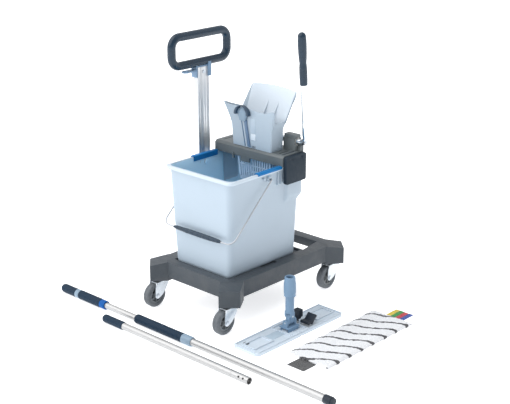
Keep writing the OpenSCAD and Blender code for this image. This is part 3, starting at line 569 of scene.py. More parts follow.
# Darker copy of the pale plastic for the funnel walls and the strap's web: partly the funnel's own tone,
# partly painted shade on the overhanging walls.
FUNNEL_TINT_AND_SHADE = moulded("funnel_tint_and_shade_moulding", (0.37, 0.45, 0.525), 0.38, grain=1100.0, depth=0.00003, lighten=1.5)
# Lighter copy of the funnel plastic: painted light on the upward-facing back panel and its fins; the front
# tab uses it too.
PANEL_LIT = moulded("panel_lit_moulding", (0.62, 0.69, 0.76), 0.38, grain=1100.0, depth=0.00003, lighten=1.1)
BASKET = moulded("basket_moulding", (0.42, 0.55, 0.70), 0.34, grain=1100.0, depth=0.00003)
BLUE = moulded("blue_moulding", (0.175, 0.285, 0.42), 0.40, depth=0.00004, lighten=1.4)
STRAP = moulded("strap_moulding", (0.105, 0.175, 0.28), 0.40, depth=0.00004, lighten=1.3)
DEEP = moulded("deep_blue_moulding", (0.030, 0.060, 0.10), 0.40, depth=0.00004, lighten=1.8)
BAND = moulded("band_moulding", (0.22, 0.31, 0.40), 0.40, depth=0.00004, lighten=1.4)
BRIGHT = moulded("bright_blue_moulding", (0.003, 0.155, 0.42), 0.42, depth=0.00004, lighten=1.4, gloss=0.3)
RING = moulded("ring_moulding", (0.0005, 0.085, 0.33), 0.5, depth=0.00004, lighten=1.4, gloss=0.2)
WHITE = moulded("white_moulding", (0.58, 0.66, 0.74), 0.40, depth=0.00004, lighten=1.2, dust=0.05)
# Darker copy of the plate's plastic for the recess on the mop plate: painted shade.
RECESS_SHADE = moulded("recess_shade_moulding", (0.42, 0.52, 0.61), 0.42, depth=0.00004, lighten=1.2)
# Black plastic; also laid as painted shade in the slots of the frame, the funnel foot and the mop plate.
BLACK = moulded("black_moulding", (0.014, 0.022, 0.034), 0.42, lighten=3.0, gloss=0.35)
HUB = moulded("hub_moulding", (0.17, 0.19, 0.205), 0.5, lighten=1.6, dust=0.3)
NAVY = soft_grip("navy_grip", (0.009, 0.027, 0.050), 0.32, 0.45)
GRIP = soft_grip("pole_grip", (0.006, 0.024, 0.050), 0.5, 0.2)
POLE = brushed("drawn_aluminium", (0.50, 0.50, 0.50), 0.42, (2.0, 110.0, 110.0), 0.3)
POST = brushed("extruded_aluminium", (0.70, 0.715, 0.73), 0.38, (420.0, 420.0, 3.0), 0.06)
STEEL = brushed("drawn_wire", (0.44, 0.46, 0.49), 0.30, (120.0, 120.0, 30.0))
ZINC = galvanised("zinc_plate", (0.68, 0.73, 0.78))
BRONZE = brushed("bush_metal", (0.62, 0.60, 0.56), 0.35, (30.0, 400.0, 400.0))
CHROME = plated("bright_chrome")
TYRE = rubber("grey_rubber", (0.125, 0.140, 0.156))
PILE = microfibre("striped_pile")


# ---- Trolley ----

def build_chassis():
    """Rounded arrises on the outside and the top."""
    tray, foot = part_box("bucket")[0].z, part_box("chassis")[0].z
    deck, tray_half, tray_back = 0.141, 0.122, 0.24

    def outside(edge):
        a, b = edge.verts
        return min(a.co.z, b.co.z) > tray - MM and a.co.z + b.co.z > 2 * deck

    def upright(edge):
        low, high = sorted(v.co.z for v in edge.verts)
        inside = all(abs(v.co.x - CART.x) < tray_half and v.co.y < CART.y + tray_back for v in edge.verts)
        return high - low > 0.02 and not inside and high > deck - 3 * MM and low < foot + 0.066

    return softened("chassis", "chassis_moulding", DARK, "trolley",
                    [(5.0, upright), (2.2, outside)])


def build_push_handle():
    low, high = local("push_handle", CART)
    radius = (high.x - low.x) / 2
    bend = 31
    x = (low.x + high.x) / 2
    y0, y1, z0, z1 = low.y + radius, high.y - radius, low.z + radius, high.z - radius
    turns = [(y1 - bend, z1 - bend, 0), (y0 + bend, z1 - bend, 90), (y0 + bend, z0 + bend, 180),
             (y1 - bend, z0 + bend, 270)]
    loop = [p for cy, cz, start in turns for p in arc(cy, cz, bend, start, start + 90, 12)]
    path = []
    for i, here in enumerate(loop):
        there = loop[(i + 1) % len(loop)]
        gap = math.dist(here, there)
        steps = max(1, round(gap / 8))
        path += [Vector((x, lerp(here[0], there[0], k / steps), lerp(here[1], there[1], k / steps)))
                 for k in range(steps) if gap > 0.01]
    seam = 0.7
    section = []
    for i in range(36):
        a = TAU * i / 36
        r = radius - (seam if i in (0, 18) else 0)
        section.append((r * math.cos(a), r * math.sin(a)))
    shape = Shape().sweep(path, section, closed=True)
    return piece("ring_grip", shape, CART, NAVY, "trolley", ["push_handle"])


# ---- Casters ----

PLACES = ("front_left", "front_right", "rear_left", "rear_right")


def build_wheel(place):
    """Tyre with a tread line and side grooves, and a spoked hub."""
    low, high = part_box("tyre_" + place)
    centre = (low + high) / 2
    radius = (high.z - low.z) / 2 / MM
    half = (high.x - low.x) / 2 / MM
    bore = 27
    shoulder = arc(half - 6, radius - 6, 6, 0, 70, 5)
    side = [(half, 28.5), (half - 0.9, 30), (half - 0.9, 31), (half, 32.4)]
    tread = [(3.2, radius), (2.4, radius - 0.9), (-2.4, radius - 0.9), (-3.2, radius)]
    right = [(half - 0.8, bore)] + side + shoulder
    profile = right + tread + [(-t, r) for t, r in reversed(right)]
    tyre = Shape().lathe(profile, "x", steps=72, closed=True)
    piece("tyre_ring_" + place, tyre, centre, TYRE, "wheel_" + place, ["tyre_" + place])

    core_half = 13
    hub = Shape()
    hub.lathe([(-9.6, 22.4), (-9.6, 27), (9.6, 27), (9.6, 22.4), (8.8, 21.6), (3.4, 21), (-3.4, 21),
               (-8.8, 21.6)], "x", steps=72, closed=True)
    hub.lathe([(-3, 11), (-3, 22), (3, 22), (3, 11)], "x", steps=72, closed=True)
    hub.lathe([(-core_half, 4.2), (-core_half, 9.4), (-core_half + 1, 10.4), (core_half - 1, 10.4),
               (core_half, 9.4), (core_half, 4.2)], "x", steps=48, closed=True)
    for spoke in range(6):
        first = len(hub.verts)
        for side_x in (-1, 1):
            hub.box((side_x * 5.4 - 2.6, -1.3, 9.5), (side_x * 5.4 + 2.6, 1.3, 22))
        hub.moved(Matrix.Rotation(TAU * spoke / 6, 4, "X"), first)
    piece("wheel_core_" + place, hub, centre, HUB, "wheel_" + place, ["hub_" + place],
          bevel=0.4)


# ---- Bucket ----

FOOT_HALF, FOOT_FRONT, FOOT_BACK, FOOT_ROUND = 117, -180, 127, 14
MOUTH_HALF, MOUTH_FRONT, MOUTH_BACK, MOUTH_ROUND = 137, -190, 132, 24
COLLAR_HALF, COLLAR_LOW, COLLAR_RISE = 141, 334, 30
COLLAR_STEP = 56
BUCKET_WALL = 3
BAIL_PIN_Y, BAIL_PIN_Z = -24, 440


def bucket_outline(half, back_half, front, back, round_front, round_back):
    """Half outline from the middle of the front to the middle of the back, then mirrored."""
    right = [(lerp(0, half - round_front, i / 8), front) for i in range(8)]
    right += arc(half - round_front, front + round_front, round_front, -90, 0, 9)
    start = front + round_front
    right += [(half, lerp(start, COLLAR_STEP - 6, i / 12)) for i in range(1, 12)]
    right += [(lerp(half, back_half, smooth(i / 6)), COLLAR_STEP - 6 + 2 * i) for i in range(7)]
    end = back - round_back
    right += [(back_half, lerp(COLLAR_STEP + 6, end, i / 6)) for i in range(1, 6)]
    right += arc(back_half - round_back, end, round_back, 0, 90, 9)
    right += [(lerp(back_half - round_back, 0, i / 8), back) for i in range(1, 9)]
    return right + [(-x, y) for x, y in reversed(right[1:-1])]


def bucket_shell():
    low, high = local("bucket", CART)
    rim_low = high.z - 10

    def wall(z, inset):
        up = (z - low.z) / (rim_low - low.z)
        out = smooth((z - COLLAR_LOW) / COLLAR_RISE)
        half = lerp(FOOT_HALF, MOUTH_HALF, up)
        back = lerp(lerp(FOOT_BACK, MOUTH_BACK, up), high.y, out)
        bend = lerp(FOOT_ROUND, MOUTH_ROUND, up)
        flat = bucket_outline(half - inset, lerp(half, COLLAR_HALF, out) - inset,
                              lerp(FOOT_FRONT, MOUTH_FRONT, up) + inset, back - inset,
                              max(4, bend - inset), max(4, lerp(bend, 20, out) - inset))
        return [Vector((x, y, z)) for x, y in flat]

    def rim(z, inset):
        half, bend = high.x - inset, 20 - inset
        flat = bucket_outline(half, half, low.y + inset, high.y - inset, bend, bend)
        return [Vector((x, y, z)) for x, y in flat]

    steps = [low.z + h for h in (12, 50, 100, 150, 184)]
    steps += [COLLAR_LOW + COLLAR_RISE * i / 7 for i in range(8)]
    steps += [370, 400, 430, rim_low - 0.6]
    rings = [wall(low.z, 9), wall(low.z + 0.7, 5.5), wall(low.z + 2.6, 2.4), wall(low.z + 6, 0.7)]
    rings += [wall(z, 0) for z in steps]
    lip = [(0, 1.6), (0.6, 0.5), (2, 0), (6, 0), (8.3, 0.7), (9.5, 2.0), (10, 3.6)]
    rings += [rim(rim_low + h, inset) for h, inset in lip]
    rings += [wall(high.z, 0.9), wall(high.z - 0.5, 2.2), wall(high.z - 2.2, BUCKET_WALL)]
    rings += [wall(z, BUCKET_WALL) for z in reversed(steps[:-1])]
    rings += [wall(low.z + h, BUCKET_WALL + inset) for h, inset in ((8, 1), (5, 4), (4, 10))]
    return rings


def build_bucket():
    high = local("bucket", CART)[1]
    shape = Shape().loft(bucket_shell())
    boss = [(-9, 9), (5.8, 9), (7.2, 8.4), (7.5, 7.4), (7.5, 5.4), (6.2, 5), (6.2, 0.6)]
    dot = [(-6, 4), (6.0, 4), (7.2, 3), (7.4, 0.5)]
    for side in (-1, 1):
        at = side * 137.5
        for profile, y, z in ((boss, BAIL_PIN_Y, BAIL_PIN_Z), (dot, BAIL_PIN_Y - 24, BAIL_PIN_Z + 4)):
            shape.lathe([(side * t, r) for t, r in profile], "x", (at, y, z), 32)
        for y in (17, 31, 45):
            shape.box((side * 138 - 3.4, y - 1.4, 410), (side * 138 + 3.4, y + 1.4, high.z - 9))
    obj = piece("bucket_shell", shape, CART, PALE, "bucket", ["bucket"], bevel=0.7)
    obj.data.materials.append(INSIDE_TINT_AND_LIGHT)
    obj.data.materials.append(RIM_HIGHLIGHT)
    for face in obj.data.polygons:
        spot = (face.center - CART) / MM
        out = Vector((spot.x, spot.y + 29, 0)).dot(face.normal) / 100
        # Inward and upward faces below the rim take the brighter inside copy: partly tint, partly painted
        # light in the shaded inside.
        if spot.z < high.z - 3 and (out < -0.2 or face.normal.z > 0.9) and abs(spot.x) < MOUTH_HALF - 1:
            face.material_index = 1
        # The rim top takes the lighter copy: a painted highlight.
        elif spot.z > high.z - 10.5 and face.normal.z > -0.5:
            face.material_index = 2
    return obj


def bail_matrix():
    rest = math.radians(43.5)
    return Matrix.Translation((0, BAIL_PIN_Y, BAIL_PIN_Z)) @ Matrix.Rotation(rest, 4, "X")


def build_bail():
    half, reach, bend = 151, 243, 25
    side = [Vector((x, y, 0)) for x, y in ((134, 0), (half - 4, 0), (half - 1.2, -1.2), (half, -4))]
    side += [Vector((half, lerp(-4, bend - reach, i / 40), 0)) for i in range(1, 40)]
    corner = [Vector((x, y, 0)) for x, y in arc(half - bend, bend - reach, bend, 0, -90, 10)]
    right = side + corner
    bar = [Vector((lerp(half - bend, bend - half, i / 40), -reach, 0)) for i in range(1, 40)]
    path = right + bar + [Vector((-p.x, p.y, 0)) for p in reversed(right)]
    matrix = bail_matrix()
    wire = Shape().sweep(path, circle(2.5, 14)).moved(matrix)
    piece("bail_rod", wire, CART, STEEL, "bail", ["bail_wire"])

    length = 103
    taper = [(-1.0, 3.2), (-0.985, 4.0), (-0.86, 6.2), (-0.49, 7.4), (0, 7.8)]
    taper += [(-t, r) for t, r in reversed(taper[:-1])]
    profile = [(length * t, r) for t, r in cut_fine(taper, lambda a, b: 12)]

    def ridges(t, a):
        return 0.22 * math.sin(t * 1.9) if abs(t) < 92 else 0

    grip = Shape().lathe(profile, "x", (0, -reach, 0), 32, wave=ridges).moved(matrix)
    piece("bail_handle", grip, CART, NAVY, "bail", ["bail_grip"])


def build_rim_clips():
    """Two clips, each a folded strip over the side rim with a raised finger lip."""
    low, high = local("rim_clips", CART)
    inner = 130.8
    shape = Shape()
    for side in (-1, 1):
        outer = [(high.x, 461), (high.x, high.z - 3), (high.x - 2.2, high.z - 0.4), (high.x - 8, high.z),
                 (inner + 1.8, high.z - 0.2), (inner, high.z - 1.8), (inner, low.z), (inner + 2.2, low.z),
                 (inner + 2.4, high.z - 3.4), (high.x - 1.8, high.z - 3.4), (high.x - 1.6, 461)]
        shape.prism([(z, side * x) for x, z in outer], "y", low.y, high.y)
        near, far = sorted((side * 134, side * 146))
        for y in (low.y + 8, high.y - 8):
            shape.box((near, y - 2, high.z - 1), (far, y + 2, high.z))
    return piece("snap_clips", shape, CART, BRIGHT, "bucket", ["rim_clips"], bevel=0.6)


# ---- Wringer ----

def anywhere(edge):
    return True


def build_wringer():
    softened("wringer_frame", "wringer_moulding", WRINGER, "wringer", [(1.4, anywhere)])
    low, high = local("side_cover", CART)

    def front_corner(edge):
        spots = [(v.co - CART) / MM for v in edge.verts]
        return all(spot.z > high.z - 0.5 and spot.y < low.y + 0.5 for spot in spots)

    softened("side_cover", "cover_moulding", COVER, "wringer",
             [(7, front_corner), (1.8, anywhere)])
    dressed("press_plate", BLUE, 0.8)
    dressed("cover_screws", COVER, 0.3)
    dressed("shaft_bushes", BRONZE)
    dressed("return_spring", ZINC)
    dressed("press_shaft", ZINC)
    # Black boxes sunk in the top of the frame: painted shade standing in for the slots, not cuts.
    slot_shade_boxes = Shape()
    slot_shade_boxes.box((130.5, 44, 499), (135.5, 106, 500.1))
    slot_shade_boxes.box((-127.6, 48.4, 495.8), (-122.4, 115.6, 500.1))
    piece("frame_slot_shade", slot_shade_boxes, CART, BLACK, "wringer")


def build_basket():
    """Tapered basket of separate slats between an upper band and a foot, open at the back."""
    low, high = local("sieve_basket", CART)
    foot_z, top_z, wall, back = low.z, 492, 2.5, high.y

    def edges(z):
        """Left, right and front of the basket at a height."""
        up = min(1.0, (z - foot_z) / (top_z - foot_z))
        return lerp(-48, -57.7, up), lerp(80, 89.7, up), lerp(43.5, 38.6, up)

    def upright(place, wide):
        """Slat from foot to band; place gives its middle, its run and the way inwards at a height."""
        rings = []
        for z in (foot_z + 1, top_z):
            (x, y), (run_x, run_y), (in_x, in_y) = place(z)
            a = Vector((x, y, z))
            run, inward = Vector((run_x, run_y, 0)) * wide / 2, Vector((in_x, in_y, 0)) * wall
            rings.append([a - run, a + run, a + run + inward, a - run + inward])
        shape.loft(rings)

    shape = Shape()
    for i in range(14):
        share = (i + 0.5) / 14

        def front(z):
            left, right, y = edges(z)
            return (lerp(left, right, share), y), (1, 0), (0, 1)

        upright(front, 5.2)
        left, right, y = edges(foot_z)
        x = lerp(left, right, share)
        shape.box((x - 2.4, y, foot_z), (x + 2.4, back, foot_z + 2.5))
    for side in (0, 1):
        for i in range(6):

            def flank(z):
                x, y = edges(z)[side], edges(z)[2]
                return (x, lerp(y + 2, back - 3, i / 5)), (0, 1), (1 - 2 * side, 0)

            upright(flank, 4.6)
    for z0, z1 in ((foot_z, foot_z + 9), (438, 441), (483, high.z)):
        left, right, y = edges(z0)
        left1, right1, y1 = edges(z1)
        for a, b in (((left, y, right, y + wall), (left1, y1, right1, y1 + wall)),
                     ((left, y, left + wall, back), (left1, y1, left1 + wall, back)),
                     ((right - wall, y, right, back), (right1 - wall, y1, right1, back))):
            shape.loft([[Vector((q[0], q[1], z)), Vector((q[2], q[1], z)), Vector((q[2], q[3], z)),
                         Vector((q[0], q[3], z))] for q, z in ((a, z0), (b, z1))])
    return piece("basket_slats", shape, CART, BASKET, "wringer", ["sieve_basket"], bevel=0.4,
                 segments=1)


def lever_matrix():
    axis_y, axis_z, lean = 111, 530, math.radians(4.5)
    return Matrix.Translation((0, axis_y, axis_z)) @ Matrix.Rotation(lean, 4, "X")


def build_lever():
    """Bent chrome tube, a little swollen after the bend, with a waisted grip."""
    x, bend, start, top = 171, 20, 138, 345
    path = [Vector((lerp(start, x - bend, i / 3), 0, 0)) for i in range(3)]
    path += [Vector((px, 0, pz)) for px, pz in arc(x - bend, bend, bend, -90, 0, 12)]
    path += [Vector((x, 0, lerp(bend, top, i / 60))) for i in range(1, 61)]
    reach = len(path) - 1

    def section(share):
        place = path[round(share * reach)]
        swell = 0.9 * smooth((place.z - 16) / 14) * (1 - smooth((place.z - 52) / 16))
        return circle(10 + swell, 32)

    tube = Shape().sweep(path, section).moved(lever_matrix())
    piece("lever_rod", tube, CART, CHROME, "lever", ["lever_tube"])

    foot = 188
    profile = [(0, 10.4), (0.4, 11.3), (2, 11.9), (16, 12.5), (40, 12.7), (56, 12.3), (64, 11.5), (69, 11.1),
               (74, 11.6), (84, 12.6), (100, 13.4), (122, 13.8), (140, 13.7), (150, 13.0)]
    turns = [i * math.pi / 20 for i in range(1, 10)]
    profile += [(150 + 14.6 * math.sin(a), 13.0 * math.cos(a)) for a in turns]
    fine = [(foot + t, r) for t, r in cut_fine(profile, lambda a, b: (b[0] - a[0]) / 2.5)]
    fine[-1] = (fine[-1][0] + 0.2, 1.0)

    def flutes(t, a):
        return -0.25 * max(0.0, math.cos(a * 10)) ** 4 if foot + 8 < t < foot + 140 else 0

    grip = Shape().lathe(fine, "z", (x, 0, 0), 60, wave=flutes).moved(lever_matrix())
    piece("lever_handle", grip, CART, NAVY, "lever", ["lever_grip"])


# ---- Funnel ----

FUNNEL_FOOT, FUNNEL_FOLD, FUNNEL_BACK = 500, 566, 93


def spread(points, t):
    """Point at a share of the length of a line of points."""
    points = [Vector(p) for p in points]
    lengths = [(q - p).length for p, q in zip(points, points[1:])]
    left = t * sum(lengths)
    for p, q, length in zip(points, points[1:], lengths):
        if left <= length:
            return p.lerp(q, left / length)
        left -= length
    return points[-1]


def funnel_stations():
    """Base (x, y), fold (x, y), top (x, y, z) and bow of each station, round from the front left corner."""
    panel_lean = math.radians(23.3)

    def panel(x):
        crown, tall = 560, 129
        height = tall - crown + math.sqrt(crown ** 2 - (x - 12) ** 2)
        back, up = height * math.sin(panel_lean), height * math.cos(panel_lean)
        return Vector((x, FUNNEL_BACK + back, FUNNEL_FOLD + up))

    stations = []

    def run(base, fold, top, steps, flare=(0.0, 0.0)):
        """Adds stations along a stretch of base, fold and top; top is a line of points or a function."""
        for i in range(steps):
            t = i / steps
            b = Vector(base[0]).lerp(Vector(base[1]), t)
            f = Vector(fold[0]).lerp(Vector(fold[1]), t)
            stations.append((b, f, top(t) if callable(top) else spread(top, t), lerp(*flare, t)))

    front = [(-109, 34.6, 633), (-103, 35, 632.4), (-98, 35, 628), (-92, 35, 626.4), (-69, 35, 626),
             (-8, 35, 625), (13, 35, 622.4), (34, 35, 620.6), (55, 35, 620), (70, 35, 621.4), (80, 35, 624.4),
             (90, 35, 628.6), (97, 35, 631), (102, 35.2, 630.6)]
    run(((-68, 35), (90, 35)), ((-74, 35), (92, 35)), front, 44, (1.0, 1.0))
    turn = [(102, 35.2, 630.6), (105.4, 36.4, 628.4), (106.6, 38.6, 624)]
    run(((90, 35), (93, 38)), ((92, 35), (95, 38)), turn, 6, (1.0, 0.6))
    corner = [(106.6, 38.6, 624), (104.4, 41.4, 612), (99, 44, 597), (96.4, 46, 590.4), (95.8, 49, 589)]
    run(((93, 38), (93, 43)), ((95, 38), (95, 43)), corner, 10, (0.6, 0.0))
    right = [(95.8, 49, 589), (94.6, 80, 589.6), (94, 98, 590)]
    run(((93, 43), (93, 89)), ((95, 43), (95, 89)), right, 10)
    edge = [(94, 98, 590), (94.6, 103, 592), (98.4, 116, 621), (103.4, 131, 654), (106.4, 139.4, 673.4),
            (105.6, 141.6, 677.4), (102.6, 142.6, 679)]
    run(((93, 89), (89, 93)), ((95, 89), (91, 93)), edge, 16)
    run(((89, 93), (-69, 93)), ((91, 93), (-74, 93)), lambda t: panel(lerp(103, -77, t)), 24)
    left_edge = [panel(-77), (-80.6, 142, 677.6), (-83, 139.4, 672.6), (-88.6, 128, 646),
                 (-96.6, 110.6, 606.8)]
    run(((-69, 93), (-73, 89)), ((-74, 93), (-78, 89)), left_edge, 16)
    left = [(-96.6, 110.6, 606.8), (-97.6, 104, 607.6), (-101, 80, 616), (-105, 56, 624.6), (-108, 42, 631)]
    run(((-73, 89), (-73, 42)), ((-78, 89), (-78, 42)), left, 14, (0.0, 1.0))
    turn = [(-108, 42, 631), (-109, 38, 632.8), (-109, 34.6, 633)]
    run(((-73, 42), (-68, 35)), ((-78, 42), (-74, 35)), turn, 5, (1.0, 1.0))
    return stations


def build_funnel():
    """Thin shell from a boxed foot to a flared front, low right side and tall leaning back."""
    stations = funnel_stations()
    rings = [[Vector((*b.lerp(f, t), lerp(FUNNEL_FOOT, FUNNEL_FOLD, t))) for b, f, *_ in stations]
             for t in (0, 0.25, 0.5, 0.75)]
    for level in range(9):
        t = level / 8
        bow = 0.10 * math.sin(math.pi * t) * (t - 1)
        ring = []
        for _, f, top, flare in stations:
            flat = Vector((f.x, f.y)).lerp(Vector((top.x, top.y)), t + flare * bow)
            ring.append(Vector((flat.x, flat.y, lerp(FUNNEL_FOLD, top.z, t))))
        rings.append(ring)
    shell = Shape().loft(rings, caps=False)
    obj = piece("funnel_shell", shell, CART, FUNNEL_TINT_AND_SHADE, "funnel", ["funnel"])
    obj.data.materials.append(PANEL_LIT)
    # The leaning back panel takes the lighter copy: painted light where it faces up.
    leaning = [f.y > FUNNEL_BACK - 0.01 for _, f, *_ in stations]
    for face in obj.data.polygons:
        if leaning[face.index % len(stations)] and face.center.z / MM > FUNNEL_FOLD:
            face.material_index = 1
    thick = obj.modifiers.new("wall", "SOLIDIFY")
    thick.thickness = 2.4 * MM
    thick.offset = 1
    add_bevel(obj, 0.8, 3, 50)
    obj.modifiers.move(0, 2)

    fins = Shape()
    fin = [(44.6, 101), (30, 76), (16, 55), (4, 38), (-3, 24), (-5.5, 8), (-6, -8), (0.5, -8), (1.2, 0)]
    for x in (3, 45):
        outline = [(FUNNEL_BACK + y, FUNNEL_FOLD + z) for y, z in fin]
        fins.prism(outline, "x", x, x + 3)
    tab = rounded([(9, 527), (29, 527), (29, 547), (9, 547)], 3)
    fins.prism([(z, x) for x, z in tab], "y", 33.6, 36.5)
    piece("funnel_fins", fins, CART, PANEL_LIT, "funnel", bevel=0.9, segments=3)
    band = rounded([(9, 550), (29, 550), (26, 596), (9, 598)], 3)
    shape = Shape().prism([(z, x) for x, z in band], "y", 34.4, 36.5)
    piece("funnel_band", shape, CART, PALE, "funnel", bevel=0.3)

    # Black boxes on the foot of the front wall: painted shade standing in for the drain slots, not cuts.
    slot_shade_boxes = Shape()
    for x in (12, 18, 24):
        slot_shade_boxes.box((x, 34.6, FUNNEL_FOOT + 0.4), (x + 3, 36, FUNNEL_FOOT + 8))
    piece("funnel_slot_shade", slot_shade_boxes, CART, BLACK, "funnel")


def build_funnel_hook():
    """Umbrella catch: a dark arch over a pale dome, on a channelled strap."""
    low = local("funnel_hook", CART)[0]
    centre_x, centre_z = -23, 603
    arch = arc(centre_x, centre_z, 31, 0, 180, 24)
    turns = [math.pi * i / 20 for i in range(21)]
    arch += [(centre_x - 22 * math.cos(a), centre_z + 29 * math.sin(a)) for a in turns]
    shape = Shape().prism([(z, x) for x, z in arch], "y", low.y, 35)
    piece("catch_arch", shape, CART, DEEP, "funnel", ["funnel_hook"], bevel=1.2, segments=3)

    foot, head, foot_z, head_z = (-16, 8), (-36, -11), 503, 604

    def strip(shape, u0, u1, front):
        """Part of the strap between two shares of its width, up to the dome."""
        corners = []
        for z in (foot_z, 588):
            up = (z - foot_z) / (head_z - foot_z)
            left, right = lerp(foot[0], head[0], up), lerp(foot[1], head[1], up)
            corners.append([(lerp(left, right, u0), z), (lerp(left, right, u1), z)])
        outline = corners[0] + corners[1][::-1]
        shape.prism([(z, x) for x, z in outline], "y", front, 34.9)

    shape = Shape()
    for radius, front in ((21.5, 29.6), (16, 28.4)):
        dome = arc(centre_x - 1, centre_z + 3, radius, 0, 180, 16)
        shape.prism([(z, x) for x, z in dome + [(-36, 584), (-12, 584)]], "y", front, 34.8)
    piece("catch_dome", shape, CART, BAND, "funnel", ["funnel_hook"], bevel=0.8, segments=3)
    shape = Shape()
    strip(shape, 0.50, 0.98, 31.4)
    strip(shape, 0.0, 0.14, 31.6)
    piece("catch_strap", shape, CART, STRAP, "funnel", ["funnel_hook"], bevel=0.8, segments=3)
    shape = Shape()
    strip(shape, 0.14, 0.50, 33.2)
    piece("catch_web", shape, CART, FUNNEL_TINT_AND_SHADE, "funnel", ["funnel_hook"])


# ---- Flat mop head ----

def build_mop_head():
    for end in ("near", "far"):
        softened("mop_wing_" + end, "plate_" + end, WHITE, "wing_" + end,
                 [(1.0, anywhere)])
    dressed("wing_pins", ZINC, 0.4)
    dressed("yoke_pins", ZINC, 0.4)
    softened("mop_saddle", "saddle", BLUE, "mop_base", [(1.4, anywhere)])
    dressed("joint_yoke", BLUE, 0.8)
    dressed("handle_socket", BLUE, 0.8)
    softened("foot_pedal", "pedal_pads", BLACK, "pedal", [(1.6, anywhere)])
    # Darker sheet laid on the near wing where the plate has a recess: painted shade.
    recess_shade = Shape().prism(rounded([(-17, -96), (17, -96), (17, -38), (-17, -38)], 4), "z", 8.6, 9.7)
    piece("near_recess_shade", recess_shade, MOP, RECESS_SHADE, "wing_near", bevel=0.4)
    # Black sheet on the near wing: painted shade standing in for a slot, not a cut.
    slot_shade = Shape().prism(rounded([(-34, -172), (-16, -172), (-16, -160), (-34, -160)], 2.5), "z", 8.6, 9.8)
    piece("near_slot_shade", slot_shade, MOP, BLACK, "wing_near", bevel=0.4)


def build_sleeve():
    low, high = local("socket_sleeve", MOP)
    foot = [(0, 15.2), (0, 17.2), (1.4, 18.2), (3.6, 18.2), (4.6, 17.4), (7, 17.6), (12, 18.8), (24, 19.0),
            (40, 18.7), (46, 18.0), (52, 17.0)]
    mouth = [(2.4, 16.4), (0.6, 15.6), (0, 14.4), (0, 12.6), (1.2, 11.6), (8.4, 11.3), (8.5, 15.1)]
    outer = [(low.z + h, r) for h, r in foot] + [(high.z - h, r) for h, r in mouth]
    fine = cut_fine(outer, lambda a, b: math.dist(a, b) / 3, closed=True)

    def grooves(t, a):
        return -0.5 * max(0.0, math.cos(a * 12)) ** 6 if low.z + 13 < t < low.z + 38 else 0

    shape = Shape().lathe(fine, "z", steps=96, closed=True, wave=grooves)
    return piece("turn_sleeve", shape, MOP, BLUE, "sleeve", ["socket_sleeve"])


# ---- Pad ----

STRIPE_PITCH, STRIPE_START, STRIPE_HALF = 56.3, 37.3, 5.0


def stripe_at(x, y):
    """How dark the pile is at a place on the pad, 0 to 1."""
    edge = 79
    climb = 0.58 * (x + edge + 3)
    climb += lerp(6, 2, smooth((x + 20) / 50)) * math.sin((x + 65) * 0.07 + 0.004 * y)
    hook = 17 * smooth((x - edge + 11) / 20)
    line = y - climb + hook - STRIPE_START + 5 * noise.noise(Vector((x * 0.02, y * 0.012, 4.2)))
    off = abs((line + STRIPE_PITCH / 2) % STRIPE_PITCH - STRIPE_PITCH / 2)
    wide = lerp(STRIPE_HALF, 7.5, smooth((x - edge + 22) / 18))
    wide += 1.6 * noise.noise(Vector((x * 0.06, y * 0.06, 9.1)))
    return 1 - smooth((off - wide + 1.4) / 2.8)


def inflate(obj, cap):
    """Cloth under pressure swells the pad; no point moves further than the cap."""
    scene = bpy.context.scene
    rest = [v.co.copy() for v in obj.data.vertices]
    cloth = obj.modifiers.new("swell", "CLOTH")
    cloth.settings.quality = 5
    cloth.settings.mass = 0.3
    cloth.settings.tension_stiffness = 18
    cloth.settings.compression_stiffness = 18
    cloth.settings.bending_stiffness = 0.6
    cloth.settings.use_pressure = True
    cloth.settings.uniform_pressure_force = 3.0
    cloth.settings.effector_weights.gravity = 0
    cloth.point_cache.frame_end = 20
    for step in range(1, 21):
        scene.frame_set(step)
    swollen = obj.evaluated_get(bpy.context.evaluated_depsgraph_get()).to_mesh()
    places = [v.co.copy() for v in swollen.vertices]
    obj.modifiers.remove(cloth)
    for vert, start, end in zip(obj.data.vertices, rest, places):
        shift = end - start
        if shift.length > cap:
            shift = shift.normalized() * cap
        vert.co = start + shift
    scene.frame_set(1)


def pad_block(low, high, inset, cell):
    """Closed, evenly divided block, a little smaller than the pad."""
    wide, long, tall = high.x - low.x - 2 * inset, high.y - low.y - 2 * inset, high.z - low.z - inset - 2
    nx, ny = round(wide / cell), round(long / cell)
    edge = 3.2
    verts, faces, top, base = [], [], {}, {}
    for j in range(ny + 1):
        for i in range(nx + 1):
            x, y = lerp(-wide / 2, wide / 2, i / nx), lerp(-long / 2, long / 2, j / ny)
            near = min(wide / 2 - abs(x), long / 2 - abs(y))
            lift = tall * (0.78 + 0.22 * smooth(near / 14))
            top[i, j] = len(verts)
            verts.append(Vector((x, y, lift)))
            base[i, j] = len(verts)
            verts.append(Vector((x * (1 - edge / wide), y * (1 - edge / long), 1.2)))
    for j in range(ny):
        for i in range(nx):
            faces.append((top[i, j], top[i + 1, j], top[i + 1, j + 1], top[i, j + 1]))
            faces.append((base[i, j + 1], base[i + 1, j + 1], base[i + 1, j], base[i, j]))
    rim = [(i, 0) for i in range(nx)] + [(nx, j) for j in range(ny)]
    rim += [(i, ny) for i in range(nx, 0, -1)] + [(0, j) for j in range(ny, 0, -1)]
    for here, there in zip(rim, rim[1:] + rim[:1]):
        faces.append((base[here], base[there], top[there], top[here]))
    return verts, faces


